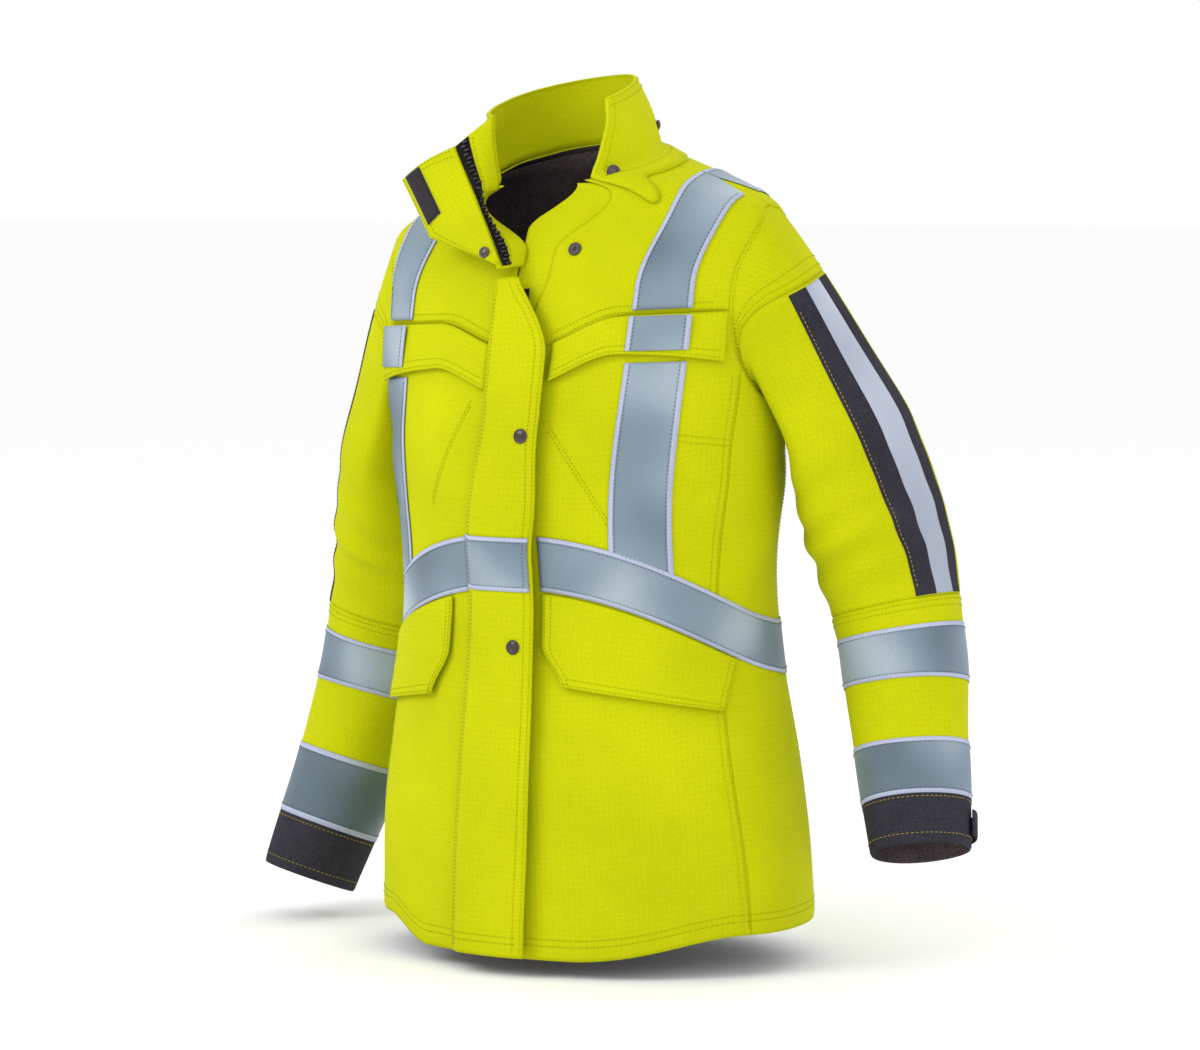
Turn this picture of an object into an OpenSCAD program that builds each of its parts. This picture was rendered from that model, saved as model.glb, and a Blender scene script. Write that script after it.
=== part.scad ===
// Hooded-collar high-visibility turnout coat, shown standing in its worn shape.
// X runs to the wearer's left, -Y is the front, +Z is up. The origin is the hanger loop in the back neck.

/* [Body] */
// Half width of the coat at the hem
hem_half_w = 210; // [190:2:220]
// Half width of the coat at the waist
waist_half_w = 183; // [172:1:190]
// Half width of the coat across the chest
chest_half_w = 200; // [192:1:204]
// Height of the shoulder tips above the hem
shoulder_h = 664; // [650:2:674]
// Half width of the neck opening
neck_half_w = 78; // [70:1:84]
// How far the left shoulder stands above the right one, halved
lean = 12; // [0:1:16]
/* [Sleeves] */
// Radius of a sleeve at the elbow
elbow_r = 63; // [56:1:66]
// Radius of a sleeve at the cuff's end
cuff_r = 45; // [40:1:52]
// How far the right sleeve hangs below the left one at the cuff
right_drop = 44; // [20:1:50]
/* [Collar] */
// Height of the standing collar
collar_h = 60; // [50:1:80]
/* [Trim] */
// Width of the reflective tape
tape_w = 50; // [40:1:55]
// Width of the storm flap over the zip
storm_w = 62; // [50:1:70]
// Diameter of a snap's cap
snap_d = 13; // [10:0.5:15]
// Thickness of the shell fabric
fabric_t = 2; // [1.2:0.1:2]
// Angle between neighbouring facets round the body
step_deg = 9; // [6:1:12]

/* [Hidden] */

YELLOW = "#c8d40a";
TAPE = "#a9bccb";
DARK = "#45424b";
BLACK = "#1b1517";

// The hanger loop's place above the hem, which is the frame's origin
LOOP = [0, 31, 716];
// Layers are counted outward from the middle of the shell fabric
SHELL = [-fabric_t / 2, fabric_t / 2];
LINING = [-fabric_t / 2 - 3, -fabric_t / 2 - 2];
APPLIED = [fabric_t / 2 + 1.2, fabric_t / 2 + 2];
FLAP = [APPLIED[1] + 1.6, APPLIED[1] + 3.2];
ON_FLAP = [FLAP[1] + 1.2, FLAP[1] + 2];
STORM = [13, 14.6];
// Half gap between neighbouring panels, in degrees
SEAM = 0.4;

// Rings of the body: height, half width, depth to the front, depth to the back, centre, forward tilt
RINGS = [
    [0, hem_half_w, 170, 148, 22, 0],
    [128, (hem_half_w + chest_half_w) / 2, 154, 142, 13, 0],
    [308, waist_half_w, 128, 122, 2, 0],
    [440, (waist_half_w + chest_half_w) / 2, 134, 122, -2, 0],
    [530, chest_half_w, 122, 120, -2, 0],
    [610, chest_half_w + 2, 100, 108, -4, 2],
    [shoulder_h, chest_half_w - 3, 76, 84, -8, 6],
    [shoulder_h + 32, 140, 70, 74, -14, 12],
    [shoulder_h + 52, neck_half_w, 70, 66, -22, 20]
];
NECK_Z = shoulder_h + 52;

// Centre line of the left sleeve: point, then radius across and radius front to back
ARM = [
    [[184, 8, 588], 70, 72],
    [[213, 40, 520], 62, 70],
    [[240, 66, 446], elbow_r, 70],
    [[262, 84, 366], elbow_r, 66],
    [[284, 82, 278], elbow_r - 6, 60],
    [[302, 64, 188], elbow_r - 11, 54],
    [[324, 38, 96], cuff_r, 47]
];

function lerp(a, b, t) = a + (b - a) * t;
function smooth(t) = let (u = max(0, min(1, t))) u * u * (3 - 2 * u);
function unit(v) = v / norm(v);
function square_off(v) = sign(v) * pow(abs(v), 0.92);

// Smooth interpolation through a table whose first column is the parameter
function cell(t, x, i = 0) = i >= len(t) - 2 || x <= t[i + 1][0] ? i : cell(t, x, i + 1);
function slope(t, j) =
    let (a = max(0, j - 1), b = min(len(t) - 1, j + 1)) (t[b] - t[a]) / (t[b][0] - t[a][0]);
function along(t, x) =
    let (
        i = cell(t, x),
        h = t[i + 1][0] - t[i][0],
        u = (x - t[i][0]) / h,
        u2 = u * u,
        u3 = u2 * u
    )
    (2 * u3 - 3 * u2 + 1) * t[i] + (u3 - 2 * u2 + u) * h * slope(t, i)
        + (3 * u2 - 2 * u3) * t[i + 1] + (u3 - u2) * h * slope(t, i + 1);

// A point of the body's shell: th is 0 at the front, 90 at the wearer's left
function body_point(th, z) =
    let (
        k = along(RINGS, z),
        c = square_off(cos(th)),
        x = k[1] * square_off(sin(th)),
        depth = cos(th) > 0 ? k[2] : k[3]
    )
    [x, k[4] - depth * c, z - k[5] * c + lean * smooth((z - 380) / 260) * x / 200];
function body_normal(th, z) =
    unit(cross(
        body_point(th + 1.5, z) - body_point(th - 1.5, z),
        body_point(th, min(NECK_Z, z + 1)) - body_point(th, max(0, z - 1))
    ));
function body(th, z, off) = body_point(th, z) + off * body_normal(th, z);

// Armhole: an oval in angle and height, centred on the side
HOLE_Z = 584;
HOLE_H = shoulder_h + 4 - HOLE_Z;
HOLE_DEG = 28;
function hole_half(z) = let (q = (z - HOLE_Z) / HOLE_H) abs(q) >= 1 ? 0 : HOLE_DEG * sqrt(1 - q * q);
function hole_low(th) = let (q = (th - 90) / HOLE_DEG) HOLE_Z - HOLE_H * sqrt(max(0, 1 - q * q));

// Seams, as angles and heights on the body
YOKE_Z = 576;
PRINCESS_TOP = 528;
function princess(z) = 65 + 4 * (1 - smooth(z / 200)) + 4 * smooth((z - 300) / 170);
function hem(th, side = 1) = 22 * smooth((abs(th) - (side > 0 ? 15 : 26)) / (side > 0 ? 52 : 20));
function front_edge(z) = z < PRINCESS_TOP ? princess(z) : 90 - hole_half(z) - 1;
function neck_open(z) = SEAM + 4 * smooth((z - 560) / 60) + 28 * smooth((z - 640) / 76);
function yoke_seam(th) = YOKE_Z - 28 * (1 - smooth(th / 26));
function belt_mid(th) = 357 - 41 * (1 - cos(min(abs(th), 110) * 180 / 110));

// A closed skin between an inner and an outer surface: pt(u, v, side), u and v from 0 to 1
module skin(nu, nv, pt, closed = false) {
    w = closed ? nu : nu + 1;
    function at(i, j, s) = (s * (nv + 1) + j) * w + i % w;
    points = [for (s = [0, 1], j = [0:nv], i = [0:w - 1]) pt(i / nu, j / nv, s)];
    walls = [
        for (j = [0:nv - 1], i = [0:nu - 1])
            each [
                [at(i, j, 1), at(i, j + 1, 1), at(i + 1, j + 1, 1)],
                [at(i, j, 1), at(i + 1, j + 1, 1), at(i + 1, j, 1)],
                [at(i, j, 0), at(i + 1, j + 1, 0), at(i, j + 1, 0)],
                [at(i, j, 0), at(i + 1, j, 0), at(i + 1, j + 1, 0)]
            ]
    ];
    ends = [
        for (i = [0:nu - 1])
            each [
                [at(i, 0, 1), at(i + 1, 0, 1), at(i + 1, 0, 0)],
                [at(i, 0, 1), at(i + 1, 0, 0), at(i, 0, 0)],
                [at(i + 1, nv, 1), at(i, nv, 1), at(i, nv, 0)],
                [at(i + 1, nv, 1), at(i, nv, 0), at(i + 1, nv, 0)]
            ]
    ];
    sides = closed ? [] : [
        for (j = [0:nv - 1])
            each [
                [at(0, j + 1, 1), at(0, j, 1), at(0, j, 0)],
                [at(0, j + 1, 1), at(0, j, 0), at(0, j + 1, 0)],
                [at(nu, j, 1), at(nu, j + 1, 1), at(nu, j + 1, 0)],
                [at(nu, j, 1), at(nu, j + 1, 0), at(nu, j, 0)]
            ]
    ];
    translate(-LOOP) polyhedron(points, concat(walls, ends, sides));
}

// How many cells a piece takes between two angles, or two heights
function steps(a0, a1) = max(1, ceil(abs(a1 - a0) / step_deg));
function rows(z0, z1) = max(1, ceil((z1 - z0) / (z1 > 620 ? 14 : 36)));
// A mirrored piece goes round the body from the other side, so its angles run backwards
module sided(side, nu, nv, spot, layer) {
    skin(nu, nv, function (u, v, s) let (p = spot(side > 0 ? u : 1 - u, v)) body(side * p[0], p[1], layer[s]));
}

module front_panel(side) {
    sided(side, 8, 16, function (u, v)
        let (z = lerp(hem(lerp(0, 69, u), side), yoke_seam(lerp(SEAM, 58, u)) - 1, v))
        [lerp(SEAM, front_edge(z) - SEAM, u), z], SHELL);
}
module side_panel(side) {
    sided(side, 7, 14, function (u, v)
        let (z = lerp(22, hole_low(lerp(69.5, 110.5, u)) - 2, v), a = princess(z) + SEAM)
        [lerp(a, 180 - a, u), z], SHELL);
}
module front_yoke(side) {
    sided(side, 8, 14, function (u, v)
        let (
            low = yoke_seam(lerp(0, 58, u)) + 1,
            z = lerp(low, NECK_Z, v),
            a1 = z > shoulder_h + 3 ? 90 - SEAM : 90 - hole_half(z) - 1
        )
        [lerp(neck_open(z), a1, u), z], SHELL);
}
module front_panel_left() { color(YELLOW) front_panel(1); }
module front_panel_right() { color(YELLOW) front_panel(-1); }
module side_panel_left() { color(YELLOW) side_panel(1); }
module side_panel_right() { color(YELLOW) side_panel(-1); }
module front_yoke_left() { color(YELLOW) front_yoke(1); }
module front_yoke_right() { color(YELLOW) front_yoke(-1); }
module back_panel() {
    color(YELLOW) skin(14, 16, function (u, v, s)
        let (z = lerp(22, YOKE_Z - 1, v), a = 180 - front_edge(z) + SEAM)
        body(lerp(a, 360 - a, u), z, SHELL[s]));
}
module back_yoke() {
    color(YELLOW) skin(18, 12, function (u, v, s)
        let (
            z = lerp(YOKE_Z + 1, NECK_Z, v),
            a = z > shoulder_h + 3 ? 90 + SEAM : 91 + hole_half(z)
        )
        body(lerp(a, 360 - a, u), z, SHELL[s]));
}
// The lining hangs inside the shell, from shoulder to hip, open at the front
module body_lining() {
    color(DARK) skin(28, 11, function (u, v, s)
        let (z = lerp(60, 490, v)) body(lerp(14, 346, u), z, LINING[s]));
}

// The collar stands on the neck ring and leans a little forward and outward
function collar_point(th, v, off) =
    let (
        foot = body_point(th, NECK_Z),
        narrow = 1 - max(0, v) * (0.2 + 0.2 * sin(th)),
        open = 10 * pow(max(0, cos(th)), 2) * (th > 180 ? 1 : 0)
    )
    [foot[0] * narrow, foot[1] - 4 * v, foot[2] + 2 + collar_h * v] + (off + open * v) * [sin(th), -cos(th), 0];
// Its left front end slants back, and its right end stands above the lapel
function collar_deg(u, v) = lerp(lerp(36, 74, v), 322, u);
module collar() {
    color(YELLOW) skin(28, 3, function (u, v, s)
        collar_point(collar_deg(u, v), v, [-1.5, 1.5][s]));
}
// The guard closes the front behind the zip, below the open neck
module neck_guard() {
    color(YELLOW) skin(4, 8, function (u, v, s)
        body(lerp(1, 12 + 20 * v, u) + 2 * v, lerp(430, 690, v), [-4.6, -3.4][s] - fabric_t));
}

// The collar wing is the storm flap's top, folded outward along this line
FOLD_TOP = [-84, -98, 732];
FOLD_LOW = [-17, -124, 622];
WING_TIP = [-140, -102, 700];
WING_LOW = [-104, -112, 648];
function wing_edge(u) =
    u < 0.5 ? lerp(WING_TIP, WING_LOW, smooth(2 * u)) : lerp(WING_LOW, FOLD_LOW + [-6, 0, 2], 2 * u - 1);
WING_OUT = unit(cross(FOLD_LOW - FOLD_TOP, WING_TIP - FOLD_TOP));
function wing_point(u, v, off) =
    lerp(lerp(FOLD_TOP, FOLD_LOW, u), wing_edge(u), v) - (off + 7 * sin(180 * v) * (1 - 0.4 * u)) * WING_OUT;
module collar_wing() {
    color(YELLOW) skin(8, 4, function (u, v, s) wing_point(u, lerp(1, 0.05, v), [-1.2, 1.2][s]));
}
// The lapel is the right front's facing, between the wing's fold and the neckline
function lapel_inner(u) =
    let (z = lerp(NECK_Z - 3, 626, (u - 0.35) / 0.65))
    u < 0.35 ? collar_point(323.5, 1 - u / 0.35, 0) : body(2.8 - neck_open(z), z, 0);
function lapel_base(u, v) = lerp(lerp(FOLD_TOP, FOLD_LOW, u) + [3.4, 0.3, 1.7], lapel_inner(u), v);
function lapel_normal(u, v) =
    unit(cross(
        lapel_base(min(1, u + 0.02), v) - lapel_base(max(0, u - 0.02), v),
        lapel_base(u, v + 0.02) - lapel_base(u, v - 0.02)
    ));
function lapel(u, v, off) = lapel_base(u, v) + off * lapel_normal(u, v);
module lapel_facing() {
    color(YELLOW) skin(10, 4, function (u, v, s) lapel(u, v, [-1, 1][s]));
}
module wing_hook_patch() {
    color(BLACK) skin(2, 2, function (u, v, s)
        wing_point(lerp(0.36, 0.04, u), lerp(0.62, 0.9, v), [2.6, 3.8][s]));
}

// A snap's cap stands on a point and faces along a direction
module snap(at, dir, d = snap_d, t = 1.6) {
    n = unit(dir);
    translate(at - LOOP)
        rotate([0, acos(n[2]), atan2(n[1], n[0])])
            cylinder(d = d, h = t, $fn = 24);
}
module body_snap(th, z, off) { snap(body(th, z, off), body_normal(th, z)); }
module wing_snap() { color(BLACK) snap(wing_point(0.8, 0.5, 2.6), -WING_OUT, 11); }
module collar_snap() {
    color(BLACK) snap(collar_point(52, 0.14, 3), [sin(52), -cos(52), 0]);
}
module hood_snaps() {
    color(BLACK)
        for (th = [128, 180, 232])
            snap(collar_point(th, 0.3, 2.8), [sin(th), -cos(th), 0], 9, 3);
}
module collar_loop_strip() {
    color(BLACK) skin(1, 3, function (u, v, s)
        let (h = lerp(0.1, 0.8, v))
        collar_point(collar_deg(lerp(0.012, 0.034, u), h), h, [-5.2, -3.7][s]));
}
// The hanger loop is a short webbing bow sewn inside the back neck
module hanger_loop() {
    color(DARK) translate([0, 0, -12])
        rotate([90, 0, 0])
            translate([0, 0, -1])
                difference() {
                    linear_extrude(2) loop_outline(34, 20);
                    translate([0, 0, -1]) linear_extrude(4) loop_outline(26, 12);
                }
}
module loop_outline(w, h) {
    translate([-w / 2, -h / 2 + 8]) square([w, h]);
}

// The storm flap is sewn along one edge and closed by snaps over the zip
function storm_sewn(z) = -8 - 6.5 * (1 - smooth((z - 360) / 130));
STORM_DEG = storm_w / 3.05;
function storm_deg(z) = STORM_DEG - 4.5 * smooth((z - 390) / 90) - 10 * smooth((z - 540) / 90);
// The zip runs under the flap, nearer to its sewn edge than its snaps are
function zip_at(z) = storm_sewn(z) + STORM_DEG * 0.36;
STORM_TOP = 612;
module storm_flap() {
    color(YELLOW) skin(4, 18, function (u, v, s)
        let (z = lerp(2, STORM_TOP, v), a = storm_sewn(z))
        body(lerp(a, a + storm_deg(z), u), z, STORM[s]));
}
STORM_SNAP_ZS = [280, 470];
module storm_flap_tape() {
    color(TAPE) skin(4, 1, function (u, v, s)
        let (a = storm_sewn(330))
        body(lerp(a + 0.6, a + STORM_DEG - 0.8, u), 358 + (v - 0.5) * tape_w, [1.2, 2][s] + STORM[1]));
}
module storm_flap_snaps() {
    color(BLACK)
        for (z = STORM_SNAP_ZS)
            body_snap(storm_sewn(z) + storm_deg(z) * 0.76, z, STORM[1] + 0.9);
}
module front_snap_sockets() {
    color(BLACK)
        for (z = [for (q = STORM_SNAP_ZS) q, 640])
            body_snap(z > 600 ? 11 : storm_sewn(z) + storm_deg(z) * 0.76, z, APPLIED[1] + 0.9);
}
ZIP_TOP = 604;
module zip_tape() {
    color(BLACK) skin(2, 18, function (u, v, s)
        let (z = lerp(12, ZIP_TOP, v)) body(zip_at(z) + lerp(-4, 4, u), z, APPLIED[s]));
}
ZIP_PITCH = 8;
module zip_chain() {
    color(BLACK)
        for (z = [18:ZIP_PITCH:SLIDER_Z - 12])
            translate(body(zip_at(z), z, APPLIED[1] + 1.9) - LOOP) cube([5, 1.4, 4], center = true);
}
// Above the slider the teeth part, and the right-hand row follows the fold
module zip_open_teeth() {
    color(BLACK)
        for (i = [1:16])
            translate(lapel(i / 17, 0.25, 4.4) - LOOP) rotate([0, -30, 0]) cube([4, 2.4, 4], center = true);
}
SLIDER_Z = 592;
SLIDER = body(zip_at(SLIDER_Z), SLIDER_Z, 8.2);
module zip_slider() {
    color(BLACK) translate(SLIDER - LOOP) rotate([-13, 0, 0]) cube([9, 2, 12], center = true);
}
module zip_pull() {
    color(BLACK) translate(SLIDER - LOOP) rotate([-13, 0, 0])
        translate([-2.5, -2.4, -22]) cube([5, 1.2, 24]);
}

// Reflective tape, on the body
module band(side, a0, a1, z0, z1, layer) {
    sided(side, steps(a0, a1), rows(z0, z1), function (u, v) [lerp(a0, a1, u), lerp(z0, z1, v)], layer);
}
module belt_tape() {
    color(TAPE) skin(36, 1, function (u, v, s)
        let (th = lerp(storm_sewn(300) + STORM_DEG + 1, 355 + storm_sewn(300) + 2, u), t = th > 180 ? th - 360 : th)
        body(th, belt_mid(t) + (v - 0.5) * tape_w, APPLIED[s]));
}
// Each brace runs at a nearly constant distance from the middle, then slants to the shoulder seam
function brace_x(side, u, z, front) =
    let (low = !front ? 104 : side > 0 ? 90 + 14 * smooth((z - 350) / 240) : 138)
    lerp(low, side > 0 ? 127 : 110, smooth((z - 600) / 95)) + tape_w * u;
function half_w(z) = along(RINGS, z)[1];
function seam_z(x, lo = 640, hi = NECK_Z, n = 16) =
    let (mid = (lo + hi) / 2) n == 0 ? mid : half_w(mid) > x ? seam_z(x, mid, hi, n - 1) : seam_z(x, lo, mid, n - 1);
function angle_at(x, z) = asin(pow(min(1, x / half_w(z)), 1 / 0.92));
function brace_deg(side, u, z, front) =
    min(z < 590 ? 67.5 : 90, 89.4 - hole_half(z), angle_at(brace_x(side, u, z, front), z));
module brace_tape(side, z0, z1, layer, front = true) {
    sided(front ? side : -side, 5, rows(z0, z1), function (u, v)
        let (
            above_belt = belt_mid(angle_at(brace_x(side, u, 350, front), 350)) + tape_w / 2 + 6,
            z = lerp(front ? max(z0, above_belt) : z0, z1, v),
            th = brace_deg(side, u, z, front)
        )
        [front ? th : 180 + th, z], layer);
}
module shoulder_tape(side, z0, layer, front = true) {
    sided(front ? side : -side, 5, 12, function (u, v)
        let (
            z = lerp(z0, seam_z(brace_x(side, u, 695, front)), 1 - pow(1 - v, 2)),
            th = brace_deg(side, u, z, front)
        )
        [front ? th : 180 + th, z], layer);
}
function flap_drop(side, u) = side > 0 ? 34 + 8 * u : 41 + 14 * u;
function flap_low(side) = YOKE_Z - flap_drop(side, 0.5) + 4;
module chest_tape(side) {
    brace_tape(side, 0, flap_low(side) - 8, APPLIED);
    shoulder_tape(side, YOKE_Z + 6, APPLIED);
}
module chest_tape_left() { color(TAPE) chest_tape(1); }
module chest_tape_right() { color(TAPE) chest_tape(-1); }
module back_tapes() {
    color(TAPE)
        for (side = [-1, 1]) {
            brace_tape(side, 306, 580, APPLIED, false);
            shoulder_tape(side, 582, APPLIED, false);
        }
}

// Pocket flaps hang from their top seams
module chest_flap(side) {
    sided(side, 6, 2, function (u, v)
        let (a = lerp(8, 60.5, u), top = yoke_seam(a) - 2, low = top - flap_drop(side, u) + 4 * sin(u * 180))
        [a, lerp(low, top, v)], FLAP);
}
module chest_flap_left() { color(YELLOW) chest_flap(1); }
module chest_flap_right() { color(YELLOW) chest_flap(-1); }
module chest_flap_tape_left() { color(TAPE) brace_tape(1, flap_low(1), YOKE_Z - 3, ON_FLAP); }
module chest_flap_tape_right() { color(TAPE) brace_tape(-1, flap_low(-1), YOKE_Z - 3, ON_FLAP); }
module pocket_flap(side) {
    sided(side, 8, 4, function (u, v)
        let (
            inner = (side > 0 ? 7 : 22) + 6 * (1 - smooth(v / 0.45)),
            a = lerp(inner, lerp(63.5, 72, v), u),
            top = belt_mid(a) - tape_w / 2 - 3,
            low = (side > 0 ? 247 : 238) - 0.42 * (a - 11)
        )
        [a, lerp(low, top, v)], FLAP);
}
module pocket_flap_left() { color(YELLOW) pocket_flap(1); }
module pocket_flap_right() { color(YELLOW) pocket_flap(-1); }

// Sleeve: s runs from 0 at the armhole to 1 at the cuff's end, t round the sleeve from the outer side
function arm_key(i) = [i / (len(ARM) - 1), each ARM[i][0], ARM[i][1], ARM[i][2]];
ARM_TABLE = [for (i = [0:len(ARM) - 1]) arm_key(i)];
function arm_centre(s) = let (k = along(ARM_TABLE, s)) [k[1], k[2], k[3]];
// A sleeve is flatter on the side that lies against the body
function inner_share(s) = lerp(0.15, 1, smooth((s - 0.05) / 0.4));
function front_share(s) = 1 + 0.2 * smooth(s / 0.3) * (1 - smooth((s - 0.4) / 0.2));
function arm_ring(s, t, off) =
    let (
        k = along(ARM_TABLE, s),
        d = unit(arm_centre(min(1, s + 0.02)) - arm_centre(max(0, s - 0.02))),
        out = unit(cross(d, [0, 1, 0])),
        front = cross(out, d)
    )
    [k[1], k[2], k[3]] + (k[4] * (cos(t) < 0 ? inner_share(s) : 1) + off) * cos(t) * out
        - (k[5] * (sin(t) > 0 ? front_share(s) : 1) + off) * sin(t) * front;
// The first ring follows the armhole's rim
function rim(t, off) = body(90 - (HOLE_DEG - 2) * sin(t), HOLE_Z + (HOLE_H - 4) * cos(t), off) + [4, 0, 0];
function sleeve(s, t, off) = let (m = smooth(s / 0.3)) lerp(rim(t, off), arm_ring(s, t, off), m);
function put(side, p, s) =
    let (m = smooth((s - 0.75) / 0.25))
    side > 0 ? p : [-p[0] - 20 * m, p[1], p[2] - lerp(2 * lean * 0.9, right_drop, s) - 30 * m];
module tube(side, n, s0, s1, layer) {
    skin(20, n, function (u, v, k)
        let (t = 360 * (side > 0 ? -u : u), s = lerp(at_turn(s1, t), at_turn(s0, t), v))
        put(side, sleeve(s, t, layer[k]), s), closed = true);
}
// A sleeve's station is a number, or a function of the angle round it
function at_turn(s, t) = is_num(s) ? s : s(t);
module strip(side, t0, t1, s0, s1, layer, n = 12) {
    skin(2, n, function (u, v, k)
        let (t = side > 0 ? lerp(t1, t0, u) : lerp(t0, t1, u), s = lerp(at_turn(s1, t), at_turn(s0, t), v))
        put(side, sleeve(s, t, layer[k]), s));
}
// The cap's seam slants: it is lowest on the outer side
function cap_end(t) = 0.15 - 0.04 * (1 - cos(t));
ELBOW_END = 0.6;
CUFF_START = 0.88;
GAP_S = 0.002;
module sleeve_cap(side) { color(YELLOW) tube(side, 4, 0, function (t) cap_end(t) - GAP_S, SHELL); }
module upper_sleeve(side) { color(YELLOW) tube(side, 9, function (t) cap_end(t) + GAP_S, ELBOW_END - GAP_S, SHELL); }
module lower_sleeve(side) { color(YELLOW) tube(side, 5, ELBOW_END + GAP_S, CUFF_START - GAP_S, SHELL); }
module cuff(side) { color(DARK) tube(side, 3, CUFF_START + GAP_S, 1, SHELL); }
module sleeve_tapes(side) {
    color(TAPE) {
        tube(side, 1, 0.645, 0.735, APPLIED);
        tube(side, 1, 0.835, 0.925, APPLIED);
    }
}
module sleeve_stripe(side) { color(TAPE) strip(side, 2, 24, function (t) cap_end(t) + GAP_S, ELBOW_END, APPLIED); }
module sleeve_piping(side) {
    color(DARK) {
        strip(side, -18, 0, function (t) cap_end(t) + GAP_S, ELBOW_END, APPLIED);
        strip(side, 26, 44, function (t) cap_end(t) + GAP_S, ELBOW_END, APPLIED);
    }
}
module cuff_tab(side) { color(DARK) strip(side, -70, -10, 0.945, 0.985, FLAP, 1); }
module sleeve_cap_left() { sleeve_cap(1); }
module sleeve_cap_right() { sleeve_cap(-1); }
module upper_sleeve_left() { upper_sleeve(1); }
module upper_sleeve_right() { upper_sleeve(-1); }
module lower_sleeve_left() { lower_sleeve(1); }
module lower_sleeve_right() { lower_sleeve(-1); }
module sleeve_stripe_left() { sleeve_stripe(1); }
module sleeve_stripe_right() { sleeve_stripe(-1); }
module sleeve_piping_left() { sleeve_piping(1); }
module sleeve_piping_right() { sleeve_piping(-1); }
module sleeve_tapes_left() { sleeve_tapes(1); }
module sleeve_tapes_right() { sleeve_tapes(-1); }
module cuff_left() { cuff(1); }
module cuff_right() { cuff(-1); }
module cuff_tab_left() { cuff_tab(1); }
module cuff_tab_right() { cuff_tab(-1); }

front_panel_left();
front_panel_right();
side_panel_left();
side_panel_right();
back_panel();
front_yoke_left();
front_yoke_right();
back_yoke();
body_lining();
collar();
neck_guard();
collar_wing();
lapel_facing();
wing_hook_patch();
wing_snap();
collar_loop_strip();
collar_snap();
hanger_loop();
hood_snaps();
storm_flap();
storm_flap_snaps();
front_snap_sockets();
zip_tape();
zip_chain();
zip_open_teeth();
zip_slider();
zip_pull();
storm_flap_tape();
belt_tape();
chest_tape_left();
chest_tape_right();
back_tapes();
chest_flap_left();
chest_flap_right();
chest_flap_tape_left();
chest_flap_tape_right();
pocket_flap_left();
pocket_flap_right();
sleeve_cap_left();
sleeve_cap_right();
upper_sleeve_left();
upper_sleeve_right();
lower_sleeve_left();
lower_sleeve_right();
sleeve_stripe_left();
sleeve_stripe_right();
sleeve_piping_left();
sleeve_piping_right();
sleeve_tapes_left();
sleeve_tapes_right();
cuff_left();
cuff_right();
cuff_tab_left();
cuff_tab_right();
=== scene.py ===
import math

import bpy
import numpy as np
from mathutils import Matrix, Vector


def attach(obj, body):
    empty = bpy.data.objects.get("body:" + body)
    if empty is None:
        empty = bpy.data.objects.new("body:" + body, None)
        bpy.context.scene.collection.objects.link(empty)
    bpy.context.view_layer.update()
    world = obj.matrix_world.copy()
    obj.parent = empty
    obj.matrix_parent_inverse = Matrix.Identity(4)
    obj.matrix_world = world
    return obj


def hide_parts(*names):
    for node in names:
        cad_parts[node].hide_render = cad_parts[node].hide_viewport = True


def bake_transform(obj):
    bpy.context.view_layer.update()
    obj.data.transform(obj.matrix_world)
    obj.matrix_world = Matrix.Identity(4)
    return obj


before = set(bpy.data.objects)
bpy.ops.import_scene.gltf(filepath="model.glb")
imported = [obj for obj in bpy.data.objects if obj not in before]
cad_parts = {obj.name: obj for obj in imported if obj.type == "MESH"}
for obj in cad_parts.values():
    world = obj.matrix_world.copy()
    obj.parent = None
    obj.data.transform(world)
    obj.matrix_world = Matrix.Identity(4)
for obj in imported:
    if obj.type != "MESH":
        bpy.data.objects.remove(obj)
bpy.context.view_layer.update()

# ---------------------------------------------------------------- the coat's surfaces
# The shapes repeat the CAD model's own rules, in millimetres above the hem. LOOP is the frame's origin.
LOOP = np.array([0.0, 31.0, 716.0])
SHOULDER_H = 664.0
NECK_Z = SHOULDER_H + 52
LEAN = 12.0
TAPE_W = 50.0
RINGS = np.array([
    [0, 210, 170, 148, 22, 0],
    [128, 205, 154, 142, 13, 0],
    [308, 183, 128, 122, 2, 0],
    [440, 191.5, 134, 122, -2, 0],
    [530, 200, 122, 120, -2, 0],
    [610, 202, 100, 108, -4, 2],
    [SHOULDER_H, 197, 76, 84, -8, 6],
    [SHOULDER_H + 32, 140, 70, 74, -14, 12],
    [NECK_Z, 78, 70, 66, -22, 20],
], float)
ARM = np.array([
    [184, 8, 588, 70, 72],
    [213, 40, 520, 62, 70],
    [240, 66, 446, 63, 70],
    [262, 84, 366, 63, 66],
    [284, 82, 278, 57, 60],
    [302, 64, 188, 52, 54],
    [324, 38, 96, 45, 47],
], float)
ARM_TABLE = np.column_stack([np.linspace(0, 1, len(ARM)), ARM])
RIGHT_DROP = 44.0
HOLE_Z, HOLE_DEG = 584.0, 28.0
HOLE_H = SHOULDER_H + 4 - HOLE_Z
YOKE_Z, PRINCESS_TOP = 576.0, 528.0
STORM_DEG = 62 / 3.05
SEAM = 0.02
SHELL_T, EDGE_ROLL = 1.4, 0.9
TAPE_T, LINING_T = 0.7, 1.0
BELT_Z = 357.0


def lerp(a, b, t):
    return a + (b - a) * t


def smooth(t):
    t = np.clip(t, 0, 1)
    return t * t * (3 - 2 * t)


def bell(x, centre, width):
    return np.exp(-(((x - centre) / width) ** 2))


def square_off(v):
    return np.sign(v) * np.abs(v) ** 0.92


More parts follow.
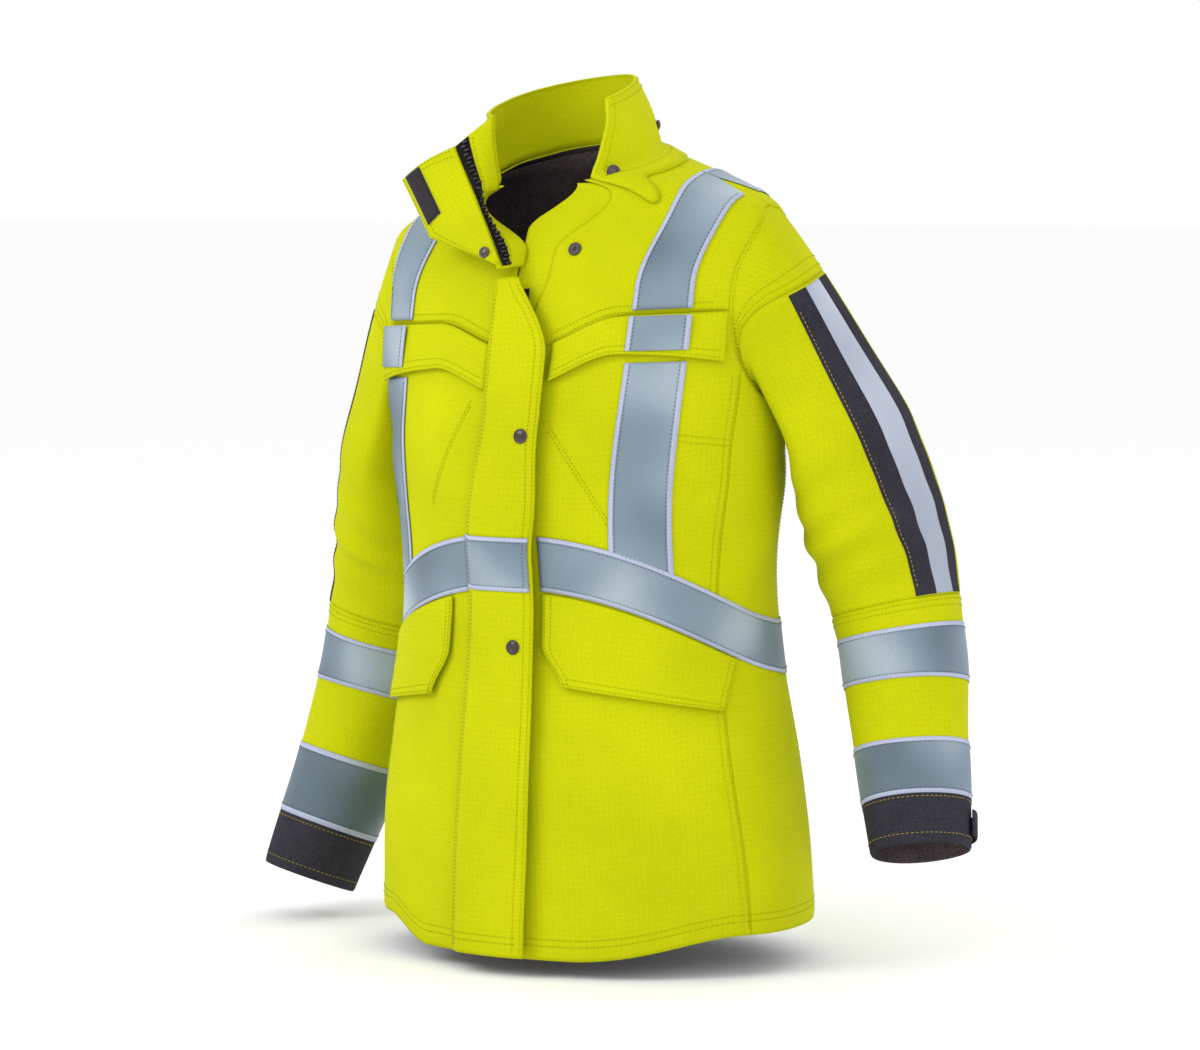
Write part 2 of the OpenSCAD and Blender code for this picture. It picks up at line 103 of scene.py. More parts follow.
def along(table, x):
    """Smooth interpolation through a table whose first column is the parameter."""
    x = np.asarray(x, float)
    keys = table[:, 0]
    slopes = np.empty_like(table)
    slopes[1:-1] = (table[2:] - table[:-2]) / (keys[2:] - keys[:-2])[:, None]
    slopes[0] = (table[1] - table[0]) / (keys[1] - keys[0])
    slopes[-1] = (table[-1] - table[-2]) / (keys[-1] - keys[-2])
    i = np.clip(np.searchsorted(keys, x) - 1, 0, len(keys) - 2)
    h = keys[i + 1] - keys[i]
    u = ((x - keys[i]) / h)[..., None]
    h = h[..., None]
    u2, u3 = u * u, u * u * u
    return ((2 * u3 - 3 * u2 + 1) * table[i] + (u3 - 2 * u2 + u) * h * slopes[i]
            + (3 * u2 - 2 * u3) * table[i + 1] + (u3 - u2) * h * slopes[i + 1])


def body_base(th, z):
    """The smooth body: th is 0 at the front and 90 at the wearer's left, in degrees."""
    th, z = np.broadcast_arrays(np.asarray(th, float), np.asarray(z, float))
    k = along(RINGS, z)
    t = np.radians(th)
    c = square_off(np.cos(t))
    depth = np.where(np.cos(t) > 0, k[..., 2], k[..., 3])
    x = k[..., 1] * square_off(np.sin(t))
    return np.stack([x, k[..., 4] - depth * c,
                     z - k[..., 5] * c + LEAN * smooth((z - 380) / 260) * x / 200], -1)


def unit(v):
    return v / np.maximum(np.linalg.norm(v, axis=-1, keepdims=True), 1e-9)


def normal_of(surface, a, b, da, db, low=-1e9, high=1e9):
    du = surface(a + da, b) - surface(a - da, b)
    dv = surface(a, np.minimum(high, b + db)) - surface(a, np.maximum(low, b - db))
    return unit(np.cross(du, dv))


def body_folds(th, z):
    """Height of the cloth's folds above the smooth body, in millimetres."""
    t = np.radians(th)
    a = np.degrees(np.arctan2(np.sin(t), np.cos(t)))
    low = 1 - smooth(z / 330)
    out = 2.6 * low * np.sin(5 * t + 0.7) + 1.6 * low * np.sin(9 * t + 2.1 + z / 160)
    waist = bell(z, 330, 90) * (0.4 + 0.6 * np.abs(np.sin(t)))
    out += 0.9 * np.sin(z / 31 + 2.5 * np.sin(2 * t) + 0.8) * waist
    out += 0.7 * np.sin(z / 55 + 3.1 * t) * bell(z, 430, 120)
    for side in (-1, 1):
        # drag lines from the armhole towards the chest and the back
        for centre, run in ((62, 1.0), (116, -1.0)):
            d = side * a - centre
            line = (z - 500) + run * d * 2.2
            out += 1.5 * np.sin(line / 15.0) * bell(d, 0, 20) * bell(z, 480, 70)
        # the hollow between the shoulder tip and the collar
        out -= 1.6 * bell(side * a, 75, 30) * bell(z, 690, 22)
    out += 0.5 * np.sin(z / 23 + 6 * t) * np.sin(3 * t + z / 90)
    return out


def body(th, z, off=0.0):
    th, z = np.broadcast_arrays(np.asarray(th, float), np.asarray(z, float))
    n = normal_of(body_base, th, z, 1.5, 1.0, 0, NECK_Z)
    return body_base(th, z) + n * (body_folds(th, z) + off)[..., None]


def arm_centre(s):
    return along(ARM_TABLE, s)[..., 1:4]


def inner_share(s):
    return lerp(0.15, 1.0, smooth((s - 0.05) / 0.4))


def front_share(s):
    return 1 + 0.2 * smooth(s / 0.3) * (1 - smooth((s - 0.4) / 0.2))


def arm_ring(s, t, off):
    k = along(ARM_TABLE, s)
    d = unit(arm_centre(np.minimum(1, s + 0.02)) - arm_centre(np.maximum(0, s - 0.02)))
    out = unit(np.cross(d, np.broadcast_to([0.0, 1.0, 0.0], d.shape)))
    front = np.cross(out, d)
    c, q = np.cos(np.radians(t)), np.sin(np.radians(t))
    across = (k[..., 4] * np.where(c < 0, inner_share(s), 1) + off) * c
    ahead = (k[..., 5] * np.where(q > 0, front_share(s), 1) + off) * q
    return k[..., 1:4] + across[..., None] * out - ahead[..., None] * front


def rim(t, off):
    c, q = np.cos(np.radians(t)), np.sin(np.radians(t))
    return body(90 - (HOLE_DEG + 0.8) * q, HOLE_Z + (HOLE_H + 2) * c, off - 1.6)


def arm_folds(s, t):
    """Folds of a sleeve: rings of creases inside the elbow, and long soft folds."""
    r = np.radians(t)
    inside = 0.5 + 0.5 * np.cos(r - np.radians(120))
    out = 2.4 * np.sin(s * 74 + 1.3 * np.sin(r * 2 + 0.5)) * bell(s, 0.47, 0.13) * inside
    out += 1.6 * np.sin(s * 46 + 1.7 * np.sin(r + 1.0)) * bell(s, 0.25, 0.12) * (0.35 + 0.65 * inside)
    out += 1.1 * np.sin(3 * r + s * 9) * smooth(s / 0.3)
    out += 0.8 * np.sin(s * 31 + 4 * r) * bell(s, 0.7, 0.2)
    return out * smooth(s / 0.12)


def sleeve_at(side, s, t, off=0.0):
    s, t = np.broadcast_arrays(np.asarray(s, float), np.asarray(t, float))
    m = smooth(s / 0.3)[..., None]
    rise = off + arm_folds(s, t)
    p = lerp(rim(t, off), arm_ring(s, t, rise), m)
    if side < 0:
        p = p * np.array([-1.0, 1.0, 1.0])
        m = smooth((s - 0.75) / 0.25)
        p[..., 0] -= 20 * m
        p[..., 2] -= lerp(2 * LEAN * 0.9, RIGHT_DROP, s) + 30 * m
    return p


def place(p):
    """Millimetres above the hem to metres in the row's frame."""
    return (np.asarray(p, float) - LOOP) / 1000


# ---------------------------------------------------------------- materials
def material(name, colour, roughness, sheen=0.0, coat=0.0, specular=0.3):
    m = bpy.data.materials.new(name)
    m.use_nodes = True
    tree = m.node_tree
    bsdf = tree.nodes["Principled BSDF"]
    bsdf.inputs["Base Color"].default_value = (*colour, 1)
    bsdf.inputs["Roughness"].default_value = roughness
    bsdf.inputs["Sheen Weight"].default_value = sheen
    bsdf.inputs["Sheen Roughness"].default_value = 0.4
    bsdf.inputs["Coat Weight"].default_value = coat
    bsdf.inputs["Specular IOR Level"].default_value = specular
    return m, tree, bsdf


def node(tree, kind, **values):
    n = tree.nodes.new(kind)
    for key, value in values.items():
        if key in n.inputs:
            n.inputs[key].default_value = value
        else:
            setattr(n, key, value)
    return n


def cloth_coords(tree):
    """Distances along the cloth, in metres."""
    uv = tree.nodes.new("ShaderNodeUVMap")
    uv.uv_map = "cloth"
    return uv.outputs["UV"]


def object_coords(tree):
    return tree.nodes.new("ShaderNodeTexCoord").outputs["Object"]


def maths(tree, operation, a, b=None):
    n = tree.nodes.new("ShaderNodeMath")
    n.operation = operation
    for i, x in enumerate((a, b)):
        if x is None:
            continue
        if isinstance(x, (int, float)):
            n.inputs[i].default_value = x
        else:
            tree.links.new(x, n.inputs[i])
    return n.outputs[0]


def ramp(tree, value, stops):
    n = tree.nodes.new("ShaderNodeValToRGB")
    el = n.color_ramp.elements
    while len(el) < len(stops):
        el.new(0.5)
    for e, (at, colour) in zip(el, stops):
        e.position = at
        e.color = (*colour, 1)
    tree.links.new(value, n.inputs["Fac"])
    return n.outputs["Color"]


def waves(tree, coords, axis, cycles):
    """A sine along one direction of the cloth, cycles per metre."""
    sep = tree.nodes.new("ShaderNodeSeparateXYZ")
    tree.links.new(coords, sep.inputs[0])
    return maths(tree, "SINE", maths(tree, "MULTIPLY", sep.outputs[axis], cycles * 2 * math.pi))


def noise(tree, coords, scale, detail=3.0, rough=0.55):
    n = node(tree, "ShaderNodeTexNoise", Scale=scale, Detail=detail, Roughness=rough)
    tree.links.new(coords, n.inputs["Vector"])
    return n.outputs["Fac"]


def blended(tree, a, b, share):
    """Two values mixed, with this share of the second."""
    return maths(tree, "ADD", maths(tree, "MULTIPLY", a, 1 - share), maths(tree, "MULTIPLY", b, share))


def streaked(tree, coords, scale):
    """Noise drawn out into yarns along one direction of the cloth."""
    mapping = tree.nodes.new("ShaderNodeMapping")
    mapping.inputs["Scale"].default_value = scale
    tree.links.new(coords, mapping.inputs["Vector"])
    return noise(tree, mapping.outputs["Vector"], 1.0, 2.0)


def bump_from(tree, bsdf, height, strength, distance):
    b = node(tree, "ShaderNodeBump", Strength=strength, Distance=distance)
    tree.links.new(height, b.inputs["Height"])
    tree.links.new(b.outputs["Normal"], bsdf.inputs["Normal"])


def woven(name, colour, pale, deep, ripstop=0.0, thread=900.0, bump=0.25, slub=0.0):
    """Woven cloth: colour drift, an over-and-under weave, an optional ripstop grid and slub yarns."""
    m, tree, bsdf = material(name, colour, 0.85, specular=0.08)
    flat = cloth_coords(tree)
    drift = noise(tree, object_coords(tree), 9.0, 4.0)
    fine = noise(tree, flat, 420.0, 2.0)
    warp, weft = waves(tree, flat, 0, thread), waves(tree, flat, 1, thread)
    weave = maths(tree, "MULTIPLY", warp, weft)
    mixed = blended(tree, drift, fine, 0.38)
    if ripstop:
        for axis in (0, 1):
            grid_wave = maths(tree, "ABSOLUTE", waves(tree, flat, axis, ripstop / 2))
            line = maths(tree, "POWER", grid_wave, 18.0)
            mixed = maths(tree, "SUBTRACT", mixed, maths(tree, "MULTIPLY", line, 0.07))
            weave = maths(tree, "ADD", weave, maths(tree, "MULTIPLY", line, 1.2))
    if slub:
        yarn = maths(tree, "ADD", streaked(tree, flat, (60, 900, 1)), streaked(tree, flat, (900, 60, 1)))
        mixed = maths(tree, "ADD", mixed, maths(tree, "MULTIPLY", maths(tree, "SUBTRACT", yarn, 1.0), slub))
    tree.links.new(ramp(tree, mixed, [(0.32, deep), (0.5, colour), (0.68, pale)]), bsdf.inputs["Base Color"])
    height = maths(tree, "ADD", maths(tree, "MULTIPLY", weave, 0.5), fine)
    bump_from(tree, bsdf, height, bump, 0.0004)
    return m


def reflective(name, colour, pale, deep, roughness=0.5, grain=700.0):
    """Glass-bead reflective tape: broad soft patches of painted sheen, lighter and darker, and a fine grain."""
    m, tree, bsdf = material(name, colour, roughness, specular=0.25)
    flat = cloth_coords(tree)
    # painted sheen: broad lighter and darker patches in the base colour stand in for the beads' shine, which
    # changes with the angle of the light
    painted_sheen = noise(tree, object_coords(tree), 7.5, 1.5, 0.4)
    beads = noise(tree, flat, grain, 2.0, 0.7)
    mixed = blended(tree, painted_sheen, beads, 0.14)
    tree.links.new(ramp(tree, mixed, [(0.34, deep), (0.5, colour), (0.66, pale)]), bsdf.inputs["Base Color"])
    bump_from(tree, bsdf, beads, 0.18, 0.0003)
    return m


def moulded(name, colour, pale, roughness, coat=0.0, sheen=0.0, grain=260.0):
    """Moulded or enamelled trim: small worn patches over a plain ground."""
    m, tree, bsdf = material(name, colour, roughness, coat=coat, sheen=sheen)
    worn = noise(tree, object_coords(tree), grain, 4.0)
    tree.links.new(ramp(tree, worn, [(0.35, colour), (0.75, pale)]), bsdf.inputs["Base Color"])
    bump_from(tree, bsdf, worn, 0.15, 0.0003)
    return m


YELLOW = woven("yellow_ripstop", (0.49, 0.52, 0.0012), (0.545, 0.58, 0.0016), (0.435, 0.465, 0.001),
               ripstop=190.0)
DARK = woven("charcoal_twill", (0.034, 0.033, 0.044), (0.052, 0.05, 0.065), (0.021, 0.02, 0.028),
             slub=0.25, bump=0.4)
LINING = woven("lining_weave", (0.085, 0.066, 0.071), (0.14, 0.11, 0.118), (0.05, 0.038, 0.042),
               thread=500.0, slub=0.5, bump=0.5)
# the pale and deep colours of the tape and of the stripe are the lit and shaded ends of their painted sheen
TAPE = reflective("reflective_tape", (0.19, 0.25, 0.305), (0.40, 0.47, 0.53), (0.095, 0.135, 0.17))
TAPE_EDGE = woven("tape_selvedge", (0.42, 0.45, 0.60), (0.5, 0.53, 0.68), (0.34, 0.37, 0.50), bump=0.3)
STRIPE = reflective("pale_stripe", (0.42, 0.45, 0.54), (0.52, 0.55, 0.64), (0.32, 0.35, 0.43),
                    roughness=0.6, grain=900.0)
ZIP_CLOTH = woven("zip_tape_weave", (0.012, 0.01, 0.011), (0.02, 0.017, 0.018), (0.006, 0.005, 0.006),
                  bump=0.5)
TEETH = moulded("zip_teeth_black", (0.010, 0.008, 0.009), (0.03, 0.026, 0.028), 0.35)
SNAP = moulded("snap_enamel", (0.020, 0.009, 0.010), (0.05, 0.028, 0.03), 0.28, coat=0.5)
HOOKS = moulded("hook_pile", (0.006, 0.005, 0.006), (0.03, 0.025, 0.028), 0.9, sheen=0.3, grain=1500.0)
THREAD_YELLOW = woven("yellow_thread", (0.41, 0.44, 0.002), (0.48, 0.52, 0.003), (0.33, 0.36, 0.001),
                      bump=0.2)
THREAD_GREY = woven("grey_thread", (0.13, 0.16, 0.19), (0.2, 0.24, 0.28), (0.08, 0.1, 0.12), bump=0.2)
THREAD_GOLD = woven("gold_thread", (0.58, 0.42, 0.03), (0.7, 0.52, 0.05), (0.45, 0.32, 0.02), bump=0.2)

# ---------------------------------------------------------------- mesh building
def mesh_object(name, points, faces, materials, uvs=None, face_slots=None, smooth_faces=True):
    me = bpy.data.meshes.new(name)
    me.from_pydata([tuple(p) for p in points], [], [tuple(int(i) for i in f) for f in faces])
    for m in materials:
        me.materials.append(m)
    if face_slots is not None:
        me.polygons.foreach_set("material_index", np.asarray(face_slots, np.int32))
    me.polygons.foreach_set("use_smooth", np.full(len(me.polygons), smooth_faces))
    if uvs is not None:
        layer = me.uv_layers.new(name="cloth")
        loops = np.empty(len(me.loops), np.int32)
        me.loops.foreach_get("vertex_index", loops)
        layer.data.foreach_set("uv", np.asarray(uvs, np.float32)[loops].ravel())
    me.update()
    o = bpy.data.objects.new(name, me)
    bpy.context.scene.collection.objects.link(o)
    return o


def adopt(o, nodes, body_name):
    """Hide the CAD nodes that a piece stands for, and tie the piece to the body that carries it."""
    if nodes:
        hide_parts(*nodes)
    if body_name:
        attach(o, body_name)
    return o


def grid_normals(p):
    du, dv = np.gradient(p, axis=1), np.gradient(p, axis=0)
    return unit(np.cross(du, dv))


def arc_lengths(p):
    """Distance along each row and each column, as texture coordinates in metres."""
    u = np.zeros(p.shape[:2])
    v = np.zeros(p.shape[:2])
    u[:, 1:] = np.cumsum(np.linalg.norm(np.diff(p, axis=1), axis=-1), axis=1)
    v[1:, :] = np.cumsum(np.linalg.norm(np.diff(p, axis=0), axis=-1), axis=0)
    u -= u.mean(axis=1, keepdims=True)
    return u, v


def declare_sheet(p):
    """Sums the length of each row and of each column of the sheet; nothing is done with the results.
    Its flat size is the longest row by the longest column, held to what a declared sheet may be.
    """
    rows = np.linalg.norm(np.diff(p, axis=1), axis=-1).sum(axis=1)
    columns = np.linalg.norm(np.diff(p, axis=0), axis=-1).sum(axis=0)


def cloth(name, p, thick, mat, body_name, nodes, inner=None, wrap=False, slots=None, roll=0.0):
    """A closed sheet from a grid of outer points in millimetres, rows of v by columns of u, edges rolled in."""
    p = np.asarray(p, float)
    nv, nu = p.shape[:2]
    if wrap:
        ring = np.concatenate([p[:, -1:], p, p[:, :1]], axis=1)
        n = grid_normals(ring)[:, 1:-1]
    else:
        n = grid_normals(p)
    if roll:
        depth = np.zeros((nv, nu))
        if not wrap:
            depth[:, 0] = depth[:, -1] = roll
        depth[0] = depth[-1] = roll
        p = p - n * depth[..., None]
    lo = p - n * thick
    pts = place(np.concatenate([p.reshape(-1, 3), lo.reshape(-1, 3)]))
    u, v = arc_lengths(p)
    uv = np.stack([u.ravel(), v.ravel()], -1) / 1000
    uv = np.concatenate([uv, uv])
    cols = nu if wrap else nu - 1
    j, i = np.meshgrid(np.arange(nv - 1), np.arange(cols), indexing="ij")
    k = (i + 1) % nu
    a, b, c, d = j * nu + i, j * nu + k, (j + 1) * nu + k, (j + 1) * nu + i
    top = np.stack([a, b, c, d], -1).reshape(-1, 4)
    under = np.stack([a, d, c, b], -1).reshape(-1, 4) + nv * nu
    if slots is None:
        face_slots = np.zeros(len(top), int)
    else:
        face_slots = np.broadcast_to(slots, (nv - 1, cols)).ravel()
    rims = []
    for i0 in range(cols):
        i1 = (i0 + 1) % nu
        rims.append((i1, i0, i0 + nv * nu, i1 + nv * nu))
        q = (nv - 1) * nu
        rims.append((q + i0, q + i1, q + i1 + nv * nu, q + i0 + nv * nu))
    if not wrap:
        for j0 in range(nv - 1):
            r0, r1 = j0 * nu, (j0 + 1) * nu
            rims.append((r0, r1, r1 + nv * nu, r0 + nv * nu))
            r0, r1 = r0 + nu - 1, r1 + nu - 1
            rims.append((r1, r0, r0 + nv * nu, r1 + nv * nu))
    faces = np.concatenate([top, under, np.array(rims)])
    mats = list(mat) if isinstance(mat, list) else [mat]
    under_slot = 0
    if inner is not None:
        mats.append(inner)
        under_slot = len(mats) - 1
    all_slots = np.concatenate([face_slots, np.full(len(under), under_slot), np.zeros(len(rims), int)])
    o = adopt(mesh_object(name, pts, faces, mats, uv, all_slots), nodes, body_name)
    declare_sheet(p)
    return o


def grid(nu, nv, pt):
    u, v = np.meshgrid(np.linspace(0, 1, nu + 1), np.linspace(0, 1, nv + 1))
    return pt(u, v)


def sided(side, nu, nv, spot, off):
    """A grid on the body: spot(u, v) gives the angle on the left side, and the height."""
    def pt(u, v):
        th, z = spot(u if side > 0 else 1 - u, v)
        return body(side * th, z, off)
    return grid(nu, nv, pt)


STITCH_RUNS = {}
THREAD_W, THREAD_RISE, DASH_SHARE = 0.55, 0.25, 0.62


def stitches(key, line, up, pitch=3.6):
    """Thread dashes along a polyline, in millimetres: up gives the cloth's normal at each point."""
    line, up = np.asarray(line, float), np.asarray(up, float)
    step = np.linalg.norm(np.diff(line, axis=0), axis=1)
    s = np.concatenate([[0], np.cumsum(step)])
    count = int(s[-1] / pitch)
    if count < 1:
        return

    def at(q, values):
        return np.stack([np.interp(q, s, values[:, i]) for i in range(3)], -1)

    starts = (np.arange(count) + 0.2) * pitch
    rings = []
    for f, rise, w in ((0.0, -0.1, 0.6), (0.3, THREAD_RISE, 1.0), (0.7, THREAD_RISE, 1.0), (1.0, -0.1, 0.6)):
        q = starts + f * pitch * DASH_SHARE
        c, n = at(q, line), unit(at(q, up))
        t = unit(at(q + 0.4, line) - at(q - 0.4, line))
        b = np.cross(n, t)
        half = THREAD_W / 2 * w
        foot = c + n * (rise - 0.1)
        rings.append([foot + b * half, c + n * (rise + half), foot - b * half])
    pts = np.array(rings).transpose(2, 0, 1, 3).reshape(count, 12, 3)
    STITCH_RUNS.setdefault(key, []).append(pts)


def make_stitches(key, runs, mat, body_name):
    """One mesh for all the dashes of a thread on a body: each dash is a tube of four triangles, capped."""
    pts = np.concatenate(runs).reshape(-1, 3)
    one = [(2, 1, 0), (9, 10, 11)]
    for r in range(3):
        for c in range(3):
            a, b = r * 3 + c, r * 3 + (c + 1) % 3
            one.append((a, b, b + 3, a + 3))
    faces = [tuple(x + 12 * i for x in f) for i in range(len(pts) // 12) for f in one]
    uv = np.zeros((len(pts), 2))
    uv[:, 0] = np.arange(len(pts)) * 0.0007
    adopt(mesh_object(f"stitching_{key}", place(pts), faces, [mat], uv), (), body_name)


def run_on(surface, a, b, off=0.35):
    """A line on a surface, with its normals: a and b are arrays of the surface's two coordinates."""
    p = surface(a, b, off)
    q = surface(a, b, off + 1)
    return p, unit(q - p)


# ---------------------------------------------------------------- the body
def princess(z):
    return 65 + 4 * (1 - smooth(z / 200)) + 4 * smooth((z - 300) / 170)


def hole_half(z):
    q = (z - HOLE_Z) / HOLE_H
    return HOLE_DEG * np.sqrt(np.clip(1 - q * q, 0, 1))


def hole_low(th):
    q = (th - 90) / HOLE_DEG
    return HOLE_Z - HOLE_H * np.sqrt(np.clip(1 - q * q, 0, 1))


def hem(th, side=1):
    start, run = (15, 52) if side > 0 else (26, 20)
    return 22 * smooth((np.abs(th) - start) / run)


def front_edge(z):
    return np.where(z < PRINCESS_TOP, princess(z), 90 - hole_half(z))


def neck_open(z):
    return SEAM + 4 * smooth((z - 560) / 60) + 28 * smooth((z - 640) / 76)


def yoke_seam(th):
    return YOKE_Z - 28 * (1 - smooth(np.abs(th) / 26))


def belt_mid(th):
    t = np.abs((np.asarray(th) + 180) % 360 - 180)
    return BELT_Z - 41 * (1 - np.cos(np.radians(np.minimum(t, 110) * 180 / 110)))


def front_panel(side):
    def spot(u, v):
        z = lerp(hem(lerp(0, 69, u), side), yoke_seam(lerp(SEAM, 58, u)) - 0.05, v)
        return lerp(SEAM, front_edge(z) - SEAM, u), z
    return sided(side, 64, 150, spot, 0)


def side_panel(side):
    def spot(u, v):
        z = lerp(22, hole_low(lerp(69.0, 111.0, u)) - 0.1, v)
        a = princess(z) + SEAM
        return lerp(a, 180 - a, u), z
    return sided(side, 56, 140, spot, 0)


def front_yoke(side):
    def spot(u, v):
        z = lerp(yoke_seam(lerp(0.0, 58.0, u)) + 0.05, NECK_Z, v)
        a1 = np.where(z > SHOULDER_H + 3.9, 90 - SEAM, 90 - hole_half(z))
        return lerp(neck_open(z), a1, u), z
    return sided(side, 64, 50, spot, 0)


def back_panel():
    def pt(u, v):
        z = lerp(22, YOKE_Z - 0.05, v)
        a = 180 - front_edge(z) + SEAM
        return body(lerp(a, 360 - a, u), z)
    return grid(130, 150, pt)


def back_yoke():
    def pt(u, v):
        z = lerp(YOKE_Z + 0.05, NECK_Z, v)
        a = np.where(z > SHOULDER_H + 3.9, 90 + SEAM, 90 + hole_half(z))
        return body(lerp(a, 360 - a, u), z)
    return grid(130, 50, pt)


def lining_point(u, v):
    z = lerp(34, NECK_Z - 3, v)
    a = np.maximum(8, neck_open(z) + 3)
    return body(lerp(a, 360 - a, u), z, -4.0)


def shell(node_name, p):
    cloth(f"{node_name}_cloth", p, SHELL_T, YELLOW, "coat", [node_name], inner=LINING,
          roll=EDGE_ROLL)


SIDES = ((1, "left"), (-1, "right"))
for side, word in SIDES:
    shell(f"front_panel_{word}", front_panel(side))
    shell(f"side_panel_{word}", side_panel(side))
    shell(f"front_yoke_{word}", front_yoke(side))
shell("back_panel", back_panel())
shell("back_yoke", back_yoke())
cloth("body_lining_cloth", grid(150, 60, lining_point), LINING_T, LINING, "coat", ["body_lining"])


def seam_rows(key, th, z, sides=(1, -1), offsets=(2.5, 8.5)):
    """Rows of topstitching beside a seam on the body, offset across it."""
    for side in sides:
        p, n = run_on(body, side * th, z)
        t = unit(np.gradient(p, axis=0))
        across = np.cross(n, t)
        for off in offsets:
            stitches(key, p + across * off * side, n)


zz = np.linspace(26, PRINCESS_TOP - 6, 160)
seam_rows("coat_yellow", princess(zz), zz)
seam_rows("coat_yellow", 180 - princess(zz), zz, offsets=(-2.5, -8.5))
zz = np.linspace(HOLE_Z - HOLE_H + 6, HOLE_Z + HOLE_H - 6, 160)
seam_rows("coat_yellow", 90 - hole_half(zz), zz, offsets=(-2.6,))
seam_rows("coat_yellow", 90 + hole_half(zz), zz, offsets=(2.6,))
tt = np.linspace(8, 56, 90)
seam_rows("coat_yellow", tt, yoke_seam(tt), offsets=(2.5, 8.5))
tt = np.linspace(124, 236, 160)
seam_rows("coat_yellow", tt, np.full_like(tt, YOKE_Z), sides=(1,), offsets=(2.5, 8.5))
for rise in (13.0, 19.0):
    for tt, side in ((np.linspace(0.5, 180, 360), 1), (np.linspace(-0.5, -180, 360), -1)):
        stitches("coat_yellow", *run_on(body, tt, hem(tt, side) + rise))
# pocket openings and the side darts are only stitched lines here
for th0, z0, th1, z1 in ((9.1, 481, 27.8, 394), (-12.9, 503, -29.1, 409), (46.6, 472, 68.5, 466)):
    for gap in (0, 5.5):
        tt = np.linspace(th0, th1, 60)
        stitches("coat_yellow", *run_on(body, tt, np.linspace(z0, z1, 60) - gap))

# ---------------------------------------------------------------- sleeves
ELBOW_END, CUFF_START = 0.6, 0.88


def cap_end(t, gap=0.0):
    """The cap's seam slants: it is lowest on the outer side."""
    return 0.15 - 0.04 * (1 - np.cos(np.radians(t))) + gap


def at_turn(s, t):
    return s(t) if callable(s) else s


SLEEVE_COLS, STRIP_COLS = 120, 8
SEAM_GAP = 0.0001


def tube(side, s0, s1, off, rows):
    def pt(u, v):
        t = 360 * (-u if side > 0 else u)
        return sleeve_at(side, lerp(at_turn(s1, t), at_turn(s0, t), v), t, off)
    return grid(SLEEVE_COLS, rows, pt)[:, :-1]


def strip(side, t0, t1, s0, s1, off, rows):
    def pt(u, v):
        t = lerp(t1, t0, u) if side > 0 else lerp(t0, t1, u)
        return sleeve_at(side, lerp(at_turn(s1, t), at_turn(s0, t), v), t, off)
    return grid(STRIP_COLS, rows, pt)


def cross_armhole(o):
    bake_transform(o)


def tape_slots(nv, nu, side_cols=1, end_rows=0):
    s = np.zeros((nv, nu), int)
    if side_cols:
        s[:, :side_cols] = s[:, -side_cols:] = 1
    if end_rows:
        s[:end_rows] = s[-end_rows:] = 1
    return s


def make_sleeve(side, word):
    arm = f"{word}_arm"

    def tubed(part, s0, s1, rows, body_name, off=0, thick=SHELL_T, mat=YELLOW):
        g = tube(side, s0, s1, off, rows)
        return cloth(f"{part}_{word}_cloth", g, thick, mat, body_name, [f"{part}_{word}"], inner=LINING,
                     wrap=True, roll=0.8)

    def stripe(piece, node_name, t0, t1, off, thick, mat):
        g = strip(side, t0, t1, lambda t: cap_end(t, 0.003), ELBOW_END - 0.002, off, 90)
        cross_armhole(cloth(piece, g, thick, mat, None, [node_name]))

    for part, s0, s1, rows in (("sleeve_cap", 0, lambda t: cap_end(t, -SEAM_GAP), 34),
                               ("upper_sleeve", lambda t: cap_end(t, SEAM_GAP), ELBOW_END - SEAM_GAP, 90)):
        cross_armhole(tubed(part, s0, s1, rows, None))
    tubed("lower_sleeve", ELBOW_END + SEAM_GAP, CUFF_START, 60, arm)
    tubed("cuff", CUFF_START + 0.001, 1, 30, arm, 0.3, 1.8, DARK)
    stripe(f"sleeve_stripe_{word}_cloth", f"sleeve_stripe_{word}", 1.5, 24.5, 1.0, 0.8, STRIPE)
    for i, (t0, t1) in enumerate(((-18, 2), (24, 44))):
        stripe(f"sleeve_side_band_{word}_{i}", f"sleeve_piping_{word}", t0, t1, 0.7, 0.6, DARK)
    for i, (s0, s1) in enumerate(((0.645, 0.735), (0.835, 0.925))):
        cloth(f"sleeve_tape_{word}_{i}", tube(side, s0, s1, 0.9, 14), TAPE_T, [TAPE, TAPE_EDGE], arm,
              [f"sleeve_tapes_{word}"], wrap=True, slots=tape_slots(14, SLEEVE_COLS, 0, 1))
        for inset in (0.008, s1 - s0 - 0.008):
            t = np.linspace(0, 360, 200)
            stitches(f"{arm}_grey", *run_on(on_sleeve(side), np.full_like(t, s0 + inset), t, 1.3))


def on_sleeve(side):
    return lambda s, t, off: sleeve_at(side, s, t, off)


for side, word in SIDES:
    make_sleeve(side, word)

# ---------------------------------------------------------------- storm flap, zip and front
def storm_sewn(z):
    return -8 - 6.5 * (1 - smooth((z - 360) / 130))


def storm_deg(z):
    return STORM_DEG - 4.5 * smooth((z - 390) / 90) - 10 * smooth((z - 540) / 90)


def zip_at(z):
    return storm_sewn(z) + STORM_DEG * 0.36


def storm_off(u):
    """The flap rises over the zip from its sewn edge, and bends down a little at its free edge."""
    return 6.5 + 8.1 * smooth(u / 0.22) - 1.6 * smooth((u - 0.8) / 0.2)


def storm_point(u, z, off=0.0):
    a = storm_sewn(z)
    return body(lerp(a, a + storm_deg(z), u), z, storm_off(u) + off + 0.8 * np.sin(z / 47 + 2 * u) * u)


def storm_line(key, u, z, off=0.35):
    stitches(key, *run_on(storm_point, u, z, off))


